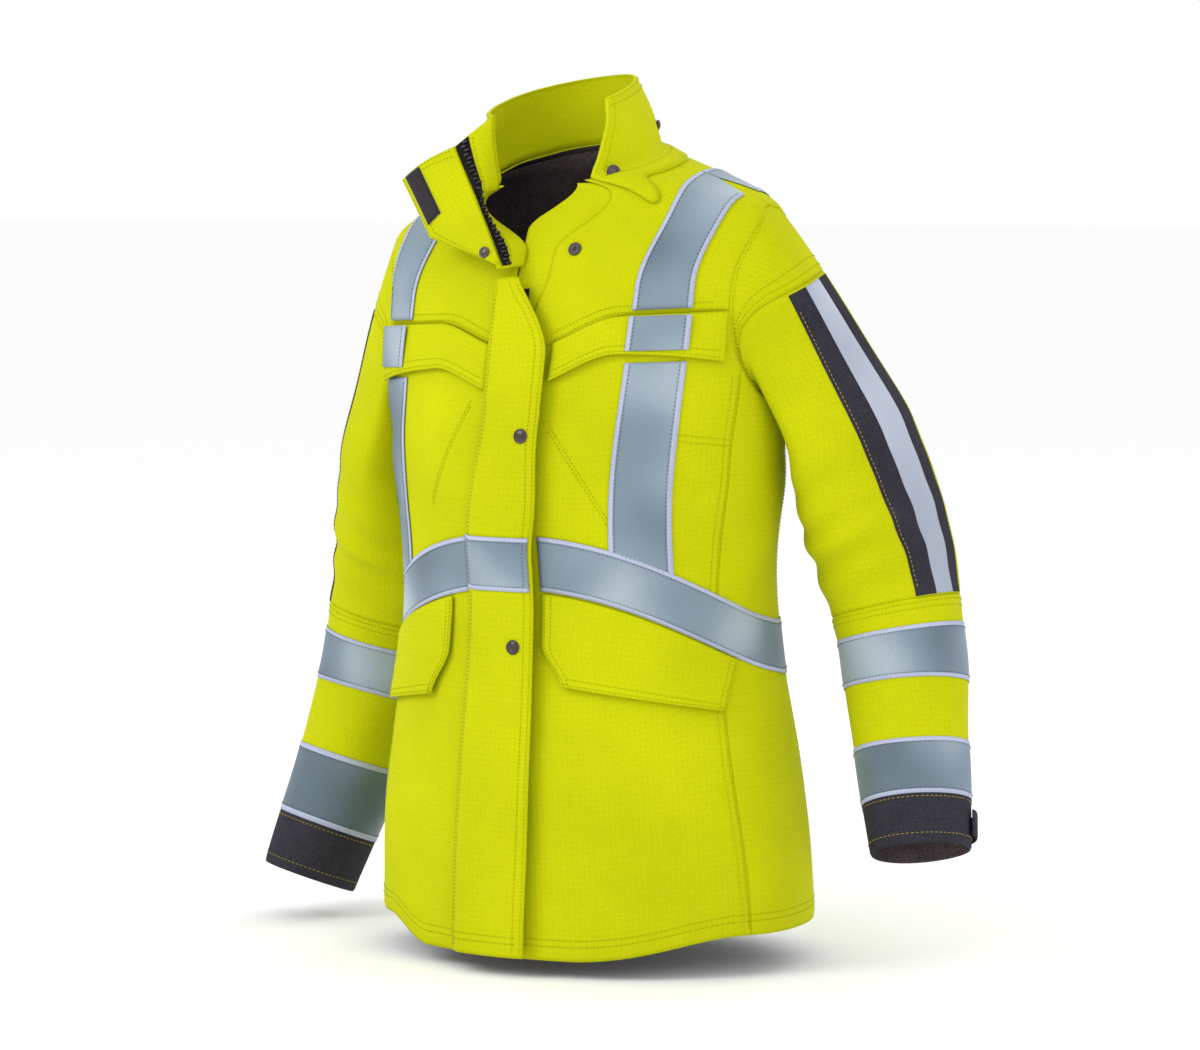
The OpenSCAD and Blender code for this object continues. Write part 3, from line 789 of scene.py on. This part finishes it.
STORM_TOP = 612
cloth("storm_flap_cloth", grid(24, 170, lambda u, v: storm_point(u, lerp(1.5, STORM_TOP, v))), 1.6, YELLOW,
      "front_flap", ["storm_flap"], roll=0.7)
zz = np.linspace(6, STORM_TOP - 4, 400)
for inset in (2.6, 8.6):
    share = inset / (3.05 * storm_deg(zz) * 1.22)
    storm_line("flap_yellow", 1 - share, zz)
    storm_line("flap_yellow", share * 0.8 + 0.02, zz)
uu = np.linspace(0.06, 0.94, 40)
for z in (14.0, 20.0):
    storm_line("flap_yellow", uu, np.full_like(uu, z))

# its own piece of the belt's tape, with a row of stitches across
def storm_tape(u, v):
    z = BELT_Z + (v - 0.5) * TAPE_W
    return storm_point(lerp(0.02, 0.965, u), z, 1.3)


cloth("storm_flap_tape_cloth", grid(20, 14, storm_tape), TAPE_T, [TAPE, TAPE_EDGE], "front_flap",
      ["storm_flap_tape"], slots=tape_slots(14, 20, 0, 1))
for rise in (-20.5, 20.5):
    storm_line("flap_grey", np.linspace(0.05, 0.93, 60), np.full(60, BELT_Z + rise), 1.6)
for u in (0.07, 0.9):
    storm_line("flap_grey", np.full(40, u), np.linspace(BELT_Z - 20, BELT_Z + 20, 40), 1.6)


TURNS = 28


def lathe(name, places, profile, mat, body_name, nodes):
    """Turned caps: profile is (radius, height) from the centre out, and places are (point, direction)."""
    pts, faces = [], []
    last = (len(profile) - 1) * TURNS
    for at, direction in places:
        n = unit(np.asarray(direction, float))
        e = unit(np.cross(n, [0.3, 0.2, 0.93]))
        f = np.cross(n, e)
        base = len(pts)
        for r, h in profile:
            for k in range(TURNS):
                a = 2 * math.pi * k / TURNS
                pts.append(at + n * h + (e * math.cos(a) + f * math.sin(a)) * r)
        for i in range(len(profile) - 1):
            low, high = base + i * TURNS, base + (i + 1) * TURNS
            for k in range(TURNS):
                k1 = (k + 1) % TURNS
                faces.append((low + k, high + k, high + k1, low + k1))
        faces.append(tuple(base + k for k in range(TURNS)))
        faces.append(tuple(base + last + k for k in range(TURNS))[::-1])
    adopt(mesh_object(name, place(np.array(pts)), faces, [mat]), nodes, body_name)


CAP_R = 6.6
CAP = ((0.6, 1.75), (2.2, 1.7), (4.2, 1.35), (4.9, 0.95), (5.2, 1.15), (5.9, 1.2), (6.5, 0.8), (CAP_R, 0.1),
       (6.2, -0.5))
SOCKET = ((1.6, -0.2), (1.7, 1.0), (2.1, 1.3), (2.6, 1.0), (3.0, 0.6), (4.2, 0.6), (4.8, 1.3), (5.6, 1.4),
          (6.3, 0.9), (6.4, -0.3))


def cap_profile(radius, tall=1.0):
    return [(r * radius / CAP_R, h * tall) for r, h in CAP]


SNAP_ZS, SNAP_U = (280.0, 470.0), 0.76
caps = [run_on(storm_point, SNAP_U, z, 0.0) for z in SNAP_ZS]
lathe("storm_flap_caps", [(p + n * 0.4, n) for p, n in caps], cap_profile(6.8), SNAP, "front_flap",
      ["storm_flap_snaps"])
sockets = [run_on(body, storm_sewn(z) + storm_deg(z) * SNAP_U, z, 0.6) for z in SNAP_ZS]
sockets.append(run_on(body, 9.5, 640.0, 0.6))
lathe("front_sockets", sockets, SOCKET, SNAP, "coat", ["front_snap_sockets"])


TOOTH = (5.4, 2.7, 2.6)


def make_teeth(name, frames, nodes):
    """Moulded zip teeth: bevelled blocks, each at a frame of (point, along, across, up)."""
    sx, sy, sz = TOOTH
    outline = [(-1, -0.55), (-0.6, -1), (0.6, -1), (1, -0.55), (1, 0.55), (0.6, 1), (-0.6, 1), (-1, 0.55)]
    pts, faces = [], []
    for at, along_v, across_v, up_v in frames:
        base = len(pts)
        for share, h in ((1.0, 0.0), (1.0, 0.62), (0.72, 1.0)):
            for x, y in outline:
                pts.append(at + across_v * x * sx / 2 * share + along_v * y * sy / 2 * share + up_v * h * sz)
        for low in (base, base + 8):
            for k in range(8):
                k1 = (k + 1) % 8
                faces.append((low + k, low + k1, low + 8 + k1, low + 8 + k))
        faces.append(tuple(base + 16 + k for k in range(8)))
        faces.append(tuple(base + k for k in range(8))[::-1])
    o = mesh_object(name, place(np.array(pts)), faces, [TEETH], smooth_faces=False)
    adopt(o, nodes, "coat")


def frames_along(p, up):
    """Frames at each point of a line, alternating a little to each side as a zip's teeth do."""
    t = unit(np.gradient(p, axis=0))
    b = unit(np.cross(t, up))
    n = np.cross(b, t)
    return [(p[i] + b[i] * (0.9 if i % 2 else -0.9), t[i], b[i], n[i]) for i in range(len(p))]


ZIP_TOP, SLIDER_Z = 604.0, 592.0


def zip_tape_point(u, v):
    """The tape narrows at its top, where the storm flap no longer covers it."""
    z = lerp(8, ZIP_TOP, v)
    return body(zip_at(z) + lerp(-4.2, 4.2 - 3.2 * smooth((v - 0.85) / 0.09), u), z, 3.0)


cloth("zip_tape_cloth", grid(16, 160, zip_tape_point), 0.8, ZIP_CLOTH, "coat", ["zip_tape"])
zz = np.arange(14, SLIDER_Z - 10, 4.0)
p, n = run_on(body, zip_at(zz), zz, 3.1)
make_teeth("zip_teeth_closed", frames_along(p, n), ["zip_chain"])


def loft(name, rings, mat, body_name, nodes):
    """A closed solid through rings of points, capped at both ends."""
    rings = [np.asarray(r, float) for r in rings]
    k = len(rings[0])
    pts = np.concatenate(rings)
    faces = [(i * k + j, i * k + (j + 1) % k, (i + 1) * k + (j + 1) % k, (i + 1) * k + j)
             for i in range(len(rings) - 1) for j in range(k)]
    faces.append(tuple(range(k))[::-1])
    faces.append(tuple((len(rings) - 1) * k + j for j in range(k)))
    adopt(mesh_object(name, place(pts), faces, [mat]), nodes, body_name)


def oval(centre, ax, ay, rx, ry, power=3.2, n=24):
    a = np.linspace(0, 2 * np.pi, n, endpoint=False)
    c, q = np.cos(a), np.sin(a)
    x = np.sign(c) * np.abs(c) ** (2 / power) * rx
    y = np.sign(q) * np.abs(q) ** (2 / power) * ry
    return centre + x[:, None] * ax + y[:, None] * ay


SLIDER_OFF = 7.9
at, out = run_on(body, zip_at(SLIDER_Z), SLIDER_Z, SLIDER_OFF)
down = unit(body(zip_at(SLIDER_Z - 20), SLIDER_Z - 20, SLIDER_OFF) - at)
across = np.cross(down, out)
# stations down the zip: distance, half width, half height
SHOE = ((-6.0, 3.4, 0.7), (-5.2, 4.3, 1.1), (-2.0, 4.6, 1.2), (1.0, 3.9, 1.2), (4.0, 3.5, 1.1),
        (5.6, 3.2, 0.9), (6.0, 2.6, 0.5))
PULL = ((0.0, 1.6, 0.5), (2.0, 2.0, 0.6), (6.0, 1.7, 0.5), (10.0, 2.3, 0.6), (14.0, 2.6, 0.8),
        (21.0, 2.6, 0.8), (23.6, 1.8, 0.6))
rings = [oval(at + down * y, across, out, w, h) for y, w, h in SHOE]
loft("slider_body", rings, TEETH, "slider", ["zip_slider"])
rings = [oval(at + down * y + out * 2.0, across, out, w, h) for y, w, h in PULL]
loft("slider_pull", rings, TEETH, "slider", ["zip_pull"])

# ---------------------------------------------------------------- collar, lapel and wing
COLLAR_H = 60.0


def collar_point(th, v, off=0.0):
    th, v = np.broadcast_arrays(np.asarray(th, float), np.asarray(v, float))
    t = np.radians(th)
    up = np.maximum(v, 0)
    foot = body_base(th, NECK_Z)
    lapped = body(th, NECK_Z + 110 * np.minimum(v, 0), 3.4)
    narrow = 1 - up * (0.2 + 0.2 * np.sin(t))
    open_out = 10 * np.maximum(0, np.cos(t)) ** 2 * (np.sin(t) < 0)
    wave = 1.3 * np.sin(3 * t + 4 * up) * up + 2.2 * np.sin(up * 9 + 2 * t) * bell(np.degrees(t), 62, 22) * up
    rise = off + open_out * up + wave + 2.4 * np.sin(np.pi * np.clip(up, 0, 1))
    level = np.stack([np.sin(t), -np.cos(t), 0 * t], -1)
    stand = np.stack([foot[..., 0] * narrow, foot[..., 1] - 4 * up, foot[..., 2] + 2 + COLLAR_H * up], -1)
    stand = stand + rise[..., None] * level
    m = smooth((v + 0.06) / 0.12)[..., None]
    return lerp(lapped + off * level, stand, m)


def collar_deg(u, v):
    return lerp(lerp(36, 74, np.maximum(v, 0)), 322, u)


def collar_low(u):
    """The collar's foot laps over the yoke, and reaches down to a point at its left front end."""
    return -0.07 - 0.25 * bell(u, 0.0, 0.045)


def collar_at(u, v, off=0.0):
    return collar_point(collar_deg(u, v), v, off)


def collar_sheet(u, v):
    return collar_at(u, lerp(collar_low(u), 1, v), 1.2)


def hook_strip(u, v):
    return collar_at(lerp(0.036, 0.006, u), lerp(-0.02, 0.82, v), -2.0)


cloth("collar_cloth", grid(150, 36, collar_sheet), 3.0, YELLOW, "coat", ["collar"], roll=1.3)
uu = np.linspace(0.01, 0.99, 320)
for v in (0.965, 0.87, -0.03):
    stitches("coat_yellow", *run_on(collar_at, uu, np.full_like(uu, v), 1.5))
vv = np.linspace(0.03, 0.9, 40)
for u in (0.009, 0.03):
    stitches("coat_yellow", *run_on(collar_at, np.full_like(vv, u), vv, 1.5))
lathe("collar_cap", [run_on(collar_point, 50.0, -0.02, 1.4)], cap_profile(CAP_R), SNAP, "coat",
      ["collar_snap"])
hood_places = [run_on(collar_point, th, 0.3, 1.4) for th in (122.0, 180.0, 232.0)]
lathe("hood_caps", hood_places, cap_profile(4.7, 1.7), SNAP, "coat", ["hood_snaps"])
cloth("collar_hook_strip", grid(5, 24, hook_strip), 1.5, HOOKS, "coat",
      ["collar_loop_strip"])

FOLD_TOP, FOLD_LOW = np.array([-84.0, -98, 732]), np.array([-17.0, -124, 622])
WING_TIP, WING_LOW = np.array([-140.0, -102, 700]), np.array([-104.0, -112, 648])
WING_OUT = unit(np.cross(FOLD_LOW - FOLD_TOP, WING_TIP - FOLD_TOP))


def wing_edge(u):
    u = u[..., None]
    upper = lerp(WING_TIP, WING_LOW, smooth(2 * u))
    lower = lerp(WING_LOW, FOLD_LOW + np.array([-6.0, 0, 2]), 2 * u - 1)
    return np.where(u < 0.5, upper, lower)


def wing_point(u, v, off=0.0):
    u, v = np.broadcast_arrays(np.asarray(u, float), np.asarray(v, float))
    bow = 7 * np.sin(np.pi * v) * (1 - 0.4 * u) + 1.2 * np.sin(6 * u + 3 * v) * v
    fold = lerp(FOLD_TOP, FOLD_LOW, u[..., None])
    return lerp(fold, wing_edge(u), v[..., None]) - (off + bow)[..., None] * WING_OUT


def hook_pad(u, v):
    return wing_point(lerp(0.38, 0.04, u), lerp(0.6, 0.9, v), 3.4)


cloth("wing_cloth", grid(60, 34, lambda u, v: wing_point(u, lerp(1, 0.008, v), 1.2)), 2.4, YELLOW, "wing",
      ["collar_wing"], roll=1.0)
uu = np.linspace(0.03, 0.96, 120)
for v in (0.955, 0.86):
    stitches("wing_yellow", *run_on(wing_point, uu, np.full_like(uu, v), 1.5))
vv = np.linspace(0.08, 0.93, 60)
for u in (0.025, 0.075):
    stitches("wing_yellow", *run_on(wing_point, np.full_like(vv, u), vv, 1.5))
cloth("wing_hook_pad", grid(24, 12, hook_pad), 1.7, HOOKS, "wing", ["wing_hook_patch"],
      roll=0.6)
lathe("wing_cap", [run_on(wing_point, 0.86, 0.45, 1.3)], cap_profile(5.4), SNAP, "wing",
      ["wing_snap"])


def lapel_inner(u):
    z = lerp(NECK_Z - 3, 626, (u - 0.35) / 0.65)
    upper = collar_point(323.0 + 0 * u, 1 - np.clip(u / 0.35, 0, 1))
    lower = body(1.5 - neck_open(z), z, 0)
    return np.where(u[..., None] < 0.35, upper, lower)


def lapel_base(u, v):
    bow = 3.0 * np.sin(np.pi * v)[..., None] * np.array([0.5, -0.7, 0.2])
    behind_wing = lerp(FOLD_TOP, FOLD_LOW, u[..., None]) + np.array([-2.0, 1.8, -0.9])
    return lerp(behind_wing, lapel_inner(u), v[..., None]) + bow


def lapel(u, v, off=0.0):
    u, v = np.broadcast_arrays(np.asarray(u, float), np.asarray(v, float))
    n = normal_of(lambda a, b: lapel_base(np.clip(a, 0, 1), b), u, v, 0.02, 0.02)
    return lapel_base(u, v) + off * n


def lapel_tape(u, v):
    return lapel(lerp(0.01, 0.985, u), lerp(0.04, 0.36, v), 1.9)


cloth("lapel_cloth", grid(50, 20, lambda u, v: lapel(u, v, 1.0)), 2.0, YELLOW, "coat",
      ["lapel_facing"], roll=0.8)
cloth("lapel_zip_tape", grid(50, 6, lapel_tape), 0.7, ZIP_CLOTH, "coat", ["zip_tape"])
uu = np.linspace(0.03, 0.975, 33)
p, n = run_on(lapel, uu, np.full_like(uu, 0.25), 2.0)
make_teeth("zip_teeth_open", frames_along(p, n), ["zip_open_teeth"])
uu = np.linspace(0.03, 0.97, 120)
stitches("coat_yellow", *run_on(lapel, uu, np.full_like(uu, 0.45), 1.2))


def guard_point(u, v):
    """The guard closes the front behind the zip. Above the zip its free edge slants up to the collar."""
    z = lerp(430, 713, v)
    free = 3 - 7 * smooth((z - 490) / 60) + 30 * np.clip((z - 664) / 52, 0, 1) ** 1.6
    return body(lerp(free, np.maximum(13, neck_open(z) + 5), u), z, -2.4 - 0.5 * u)


cloth("neck_guard_cloth", grid(24, 60, guard_point), 1.2, YELLOW, "coat", ["neck_guard"],
      roll=0.5)


def loop_ring(a):
    """A cross-section of the hanger loop's webbing, which runs round a rounded rectangle."""
    c, q = math.cos(a), math.sin(a)
    x, z = math.copysign(abs(c) ** 0.5, c), math.copysign(abs(q) ** 0.5, q)
    centre = LOOP + np.array([15 * x, 0.0, 7.5 * z - 2])
    return oval(centre, unit(np.array([c * 0.8, 0.0, q])), np.array([0.0, 1.0, 0.0]), 1.9, 1.0, 4.0, 12)


rings = [loop_ring(a) for a in np.linspace(0, 2 * math.pi, 49)]
loft("hanger_loop_webbing", rings, DARK, "coat", ["hanger_loop"])

# ---------------------------------------------------------------- tapes and lids on the body
def on_body_tape(name, side, nu, nv, spot, off, nodes, body_name, key, along_sides):
    """A tape on the body: selvedges and stitches run along its sides, or else along its top and bottom."""
    g = sided(side, nu, nv, spot, off)
    cols, rows = (1, 0) if along_sides else (0, 1)
    cloth(name, g, TAPE_T, [TAPE, TAPE_EDGE], body_name, nodes,
          slots=tape_slots(nv, nu, cols, rows))
    n = grid_normals(g)

    def pick(i, j):
        """A point of the grid between its rows and columns, and the normal there."""
        i0, j0 = int(min(i, nu - 1e-6)), int(min(j, nv - 1e-6))
        a, b = i - i0, j - j0
        return [lerp(lerp(x[j0, i0], x[j0, i0 + 1], a), lerp(x[j0 + 1, i0], x[j0 + 1, i0 + 1], a), b)
                for x in (g, n)]

    length, breadth = (nv, nu) if along_sides else (nu, nv)
    inset = 1.35 * breadth / 14
    for row in (inset, breadth - inset):
        steps = np.linspace(0.3, length - 0.3, length * 2)
        got = [pick(row, k) if along_sides else pick(k, row) for k in steps]
        up = unit(np.array([b for _, b in got]))
        stitches(key, np.array([a for a, _ in got]) + up * 0.3, up)


def belt_spot(th0, th1):
    def spot(u, v):
        th = lerp(th0, th1, u)
        return th, belt_mid(th) + (v - 0.5) * TAPE_W
    return spot


a = storm_sewn(330.0)
on_body_tape("belt_cloth", 1, 300, 14, belt_spot(a + STORM_DEG + 0.4, 359 + a), 1.5, ["belt_tape"], "coat",
             "coat_grey", False)


def brace_x(side, u, z, front):
    low = 104.0 if not front else (90 + 14 * smooth((z - 350) / 240) if side > 0 else 138.0)
    return lerp(low, 127 if side > 0 else 110, smooth((z - 600) / 95)) + TAPE_W * u


def half_w(z):
    return along(RINGS, z)[..., 1]


def angle_at(x, z):
    return np.degrees(np.arcsin(np.minimum(1, x / half_w(z)) ** (1 / 0.92)))


def seam_z(x):
    lo, hi = np.full(np.shape(x), 640.0), np.full(np.shape(x), NECK_Z)
    for _ in range(18):
        mid = (lo + hi) / 2
        wide = half_w(mid) > x
        lo, hi = np.where(wide, mid, lo), np.where(wide, hi, mid)
    return (lo + hi) / 2


def brace_deg(side, u, z, front):
    widest = np.minimum(np.where(z < 590, 67.5, 90.0), 89.6 - hole_half(z))
    return np.minimum(widest, angle_at(brace_x(side, u, z, front), z))


def brace_spot(side, z0, z1, front):
    def spot(u, v):
        above = belt_mid(angle_at(brace_x(side, u, 350.0, front), 350.0)) + TAPE_W / 2 - 1
        z = lerp(np.maximum(z0, above) if front else z0, z1, v)
        th = brace_deg(side, u, z, front)
        return (th if front else 180 - th), z
    return spot


def shoulder_spot(side, z0, front):
    def spot(u, v):
        z = lerp(z0, seam_z(brace_x(side, u, 695.0, front)), 1 - (1 - v) ** 2)
        th = brace_deg(side, u, z, front)
        return (th if front else 180 - th), z
    return spot


def flap_drop(side, u):
    return 34 + 8 * u if side > 0 else 41 + 14 * u


def flap_low(side):
    return YOKE_Z - flap_drop(side, 0.5) + 4


def mirrored(spot):
    return lambda u, v: spot(1 - u, v)


LID_T, LID_ROLL = 1.6, 0.6
LOWER_POCKET = {1: (7, 247), -1: (22, 238)}


def lid_grid(side, spot, nu, nv, lift):
    """A lid lies close at its top seam and stands off a little at its free edge."""
    def pt(u, v):
        th, z = spot(u if side > 0 else 1 - u, v)
        return body(side * th, z, 4.4 + lift * (1 - v) ** 1.5 + 0.5 * np.sin(9 * u) * (1 - v))
    return grid(nu, nv, pt)


def chest_spot(side):
    def spot(u, v):
        a = lerp(8, 61.0, u)
        top = yoke_seam(a) - 1.5
        low = top - flap_drop(side, u) + 4 * np.sin(np.pi * u)
        return a, lerp(low, top, v)
    return spot


def pocket_spot(side):
    def spot(u, v):
        first, low = LOWER_POCKET[side]
        inner = first + 6 * (1 - smooth(v / 0.45))
        a = lerp(inner, lerp(63.5, 72, v), u)
        top = belt_mid(a) - TAPE_W / 2 - 2
        return a, lerp(low - 0.42 * (a - 11), top, v)
    return spot


def make_braces(side, word):
    def tape(name, nv, spot, node_name):
        on_body_tape(name, side, 14, nv, spot, 1.5, [node_name], "coat", "coat_grey", True)

    chest = f"chest_tape_{word}"
    tape(f"{chest}_low", 60, brace_spot(side, 0, flap_low(side) - 8, True), chest)
    tape(f"{chest}_top", 50, shoulder_spot(side, YOKE_Z + 4, True), chest)
    tape(f"back_tape_{word}_low", 90, mirrored(brace_spot(side, 302, 574, False)), "back_tapes")
    tape(f"back_tape_{word}_top", 50, mirrored(shoulder_spot(side, 580, False)), "back_tapes")


def make_chest_lid(side, word):
    lid = f"{word}_chest_lid"
    g = lid_grid(side, chest_spot(side), 60, 14, 2.2)
    cloth(f"chest_lid_{word}_cloth", g, LID_T, YELLOW, lid, [f"chest_flap_{word}"],
          roll=LID_ROLL)
    n = grid_normals(g)
    for j in (1, 3):
        stitches(f"{lid}_yellow", g[j, 1:-1] + n[j, 1:-1] * 0.3, n[j, 1:-1])
    spot = brace_spot(side, flap_low(side) + 1.5, YOKE_Z - 2.5, True)
    on_body_tape(f"chest_lid_tape_{word}", side, 14, 14, spot, 7.6, [f"chest_flap_tape_{word}"], lid,
                 f"{lid}_grey", True)


def make_pocket_lid(side, word):
    pocket = f"{word}_pocket_lid"
    g = lid_grid(side, pocket_spot(side), 70, 30, 2.6)
    cloth(f"pocket_lid_{word}_cloth", g, LID_T, YELLOW, pocket, [f"pocket_flap_{word}"],
          roll=LID_ROLL)
    n = grid_normals(g)
    for i in (1, 3):
        line = np.concatenate([g[::-1, i], g[i, i:-i], g[:, -1 - i]])
        up = np.concatenate([n[::-1, i], n[i, i:-i], n[:, -1 - i]])
        stitches(f"{pocket}_yellow", line + up * 0.3, up)


def make_cuff_strap(side, word):
    def spot(u, v):
        t = lerp(-10, -70, u) if side > 0 else lerp(-70, -10, u)
        return sleeve_at(side, lerp(0.985, 0.945, v), t, 6.0)

    strap = f"{word}_cuff_strap"
    cloth(f"{strap}_cloth", grid(30, 10, spot), LID_T, DARK, strap, [f"cuff_tab_{word}"],
          roll=LID_ROLL)


def stitch_sleeve(side, word):
    t = np.linspace(0, 360, 260)
    elbow = np.full_like(t, ELBOW_END)
    for line in (cap_end(t, -0.008), cap_end(t, -0.018), elbow + 0.008, elbow + 0.018):
        stitches(f"{word}_arm_yellow", *run_on(on_sleeve(side), line, t, 0.3))
    for s in (0.985, 0.93):
        stitches(f"{word}_arm_gold", *run_on(on_sleeve(side), np.full_like(t, s), t, 0.6), pitch=4.4)
    line = np.linspace(0.16, ELBOW_END - 0.01, 160)
    for edge in (-15.5, 41.5):
        stitches(f"{word}_arm_gold", *run_on(on_sleeve(side), line, np.full_like(line, edge), 1.0), pitch=4.4)


for side, word in SIDES:
    make_braces(side, word)
    make_chest_lid(side, word)
    make_pocket_lid(side, word)
    make_cuff_strap(side, word)
for side, word in SIDES:
    stitch_sleeve(side, word)


# ---------------------------------------------------------------- stage and camera
CAMERA_AZIMUTH, CAMERA_ELEVATION, CAMERA_DISTANCE = 31.0, 4.0, 4.2
AIM_Z = 408.0
SENSOR = 36.0
VIEW_WIDTH = 10 / 9  # metres seen from side to side, where the coat stands
LENS_SHIFT = (1 / 120, -7 / 300)
FLOOR_Z, FLOOR_REACH = -16.0, 60.0


def add_camera():
    cam = bpy.data.cameras.new("camera")
    o = bpy.data.objects.new("camera", cam)
    bpy.context.scene.collection.objects.link(o)
    target = Vector(place([0, 0, AIM_Z]))
    az, el = math.radians(CAMERA_AZIMUTH), math.radians(CAMERA_ELEVATION)
    back = Vector((math.sin(az) * math.cos(el), -math.cos(az) * math.cos(el), math.sin(el)))
    o.location = target + back * CAMERA_DISTANCE
    o.rotation_euler = back.to_track_quat("Z", "Y").to_euler()
    cam.sensor_width = SENSOR
    cam.lens = SENSOR * CAMERA_DISTANCE / VIEW_WIDTH
    cam.shift_x, cam.shift_y = LENS_SHIFT
    bpy.context.scene.camera = o


def area_light(name, location, size, power):
    light = bpy.data.lights.new(name, "AREA")
    light.size = size
    light.energy = power
    o = bpy.data.objects.new(name, light)
    bpy.context.scene.collection.objects.link(o)
    o.location = location
    o.rotation_euler = Vector(location).to_track_quat("Z", "Y").to_euler()


def add_stage():
    floor_z = place([0, 0, FLOOR_Z])[2]
    corners = ((-1, -1), (1, -1), (1, 1), (-1, 1))
    pts = [(x * FLOOR_REACH, y * FLOOR_REACH, floor_z) for x, y in corners]
    white = material("studio_white", (0.97, 0.97, 0.97), 1.0)[0]
    mesh_object("backdrop", pts, [(0, 1, 2, 3)], [white])
    world = bpy.data.worlds.new("studio")
    bpy.context.scene.world = world
    world.use_nodes = True
    background = world.node_tree.nodes["Background"]
    background.inputs["Color"].default_value = (1, 1, 1, 1)
    background.inputs["Strength"].default_value = 1.0
    area_light("key", (-1.6, -2.6, 1.7), 1.8, 46)
    area_light("fill", (2.8, -1.8, 0.6), 2.2, 20)
    area_light("back", (0.6, 2.8, 1.8), 2.0, 18)
    bpy.context.scene.view_settings.view_transform = "Standard"


add_camera()
add_stage()

THREADS = {
    "yellow": (THREAD_YELLOW, "yellow_shell"),
    "grey": (THREAD_GREY, "reflective_tape"),
    "gold": (THREAD_GOLD, "dark_fabric"),
}
for key, runs in STITCH_RUNS.items():
    owner, colour = key.rsplit("_", 1)
    thread, slot_name = THREADS[colour]
    make_stitches(key, runs, thread, "front_flap" if owner == "flap" else owner)
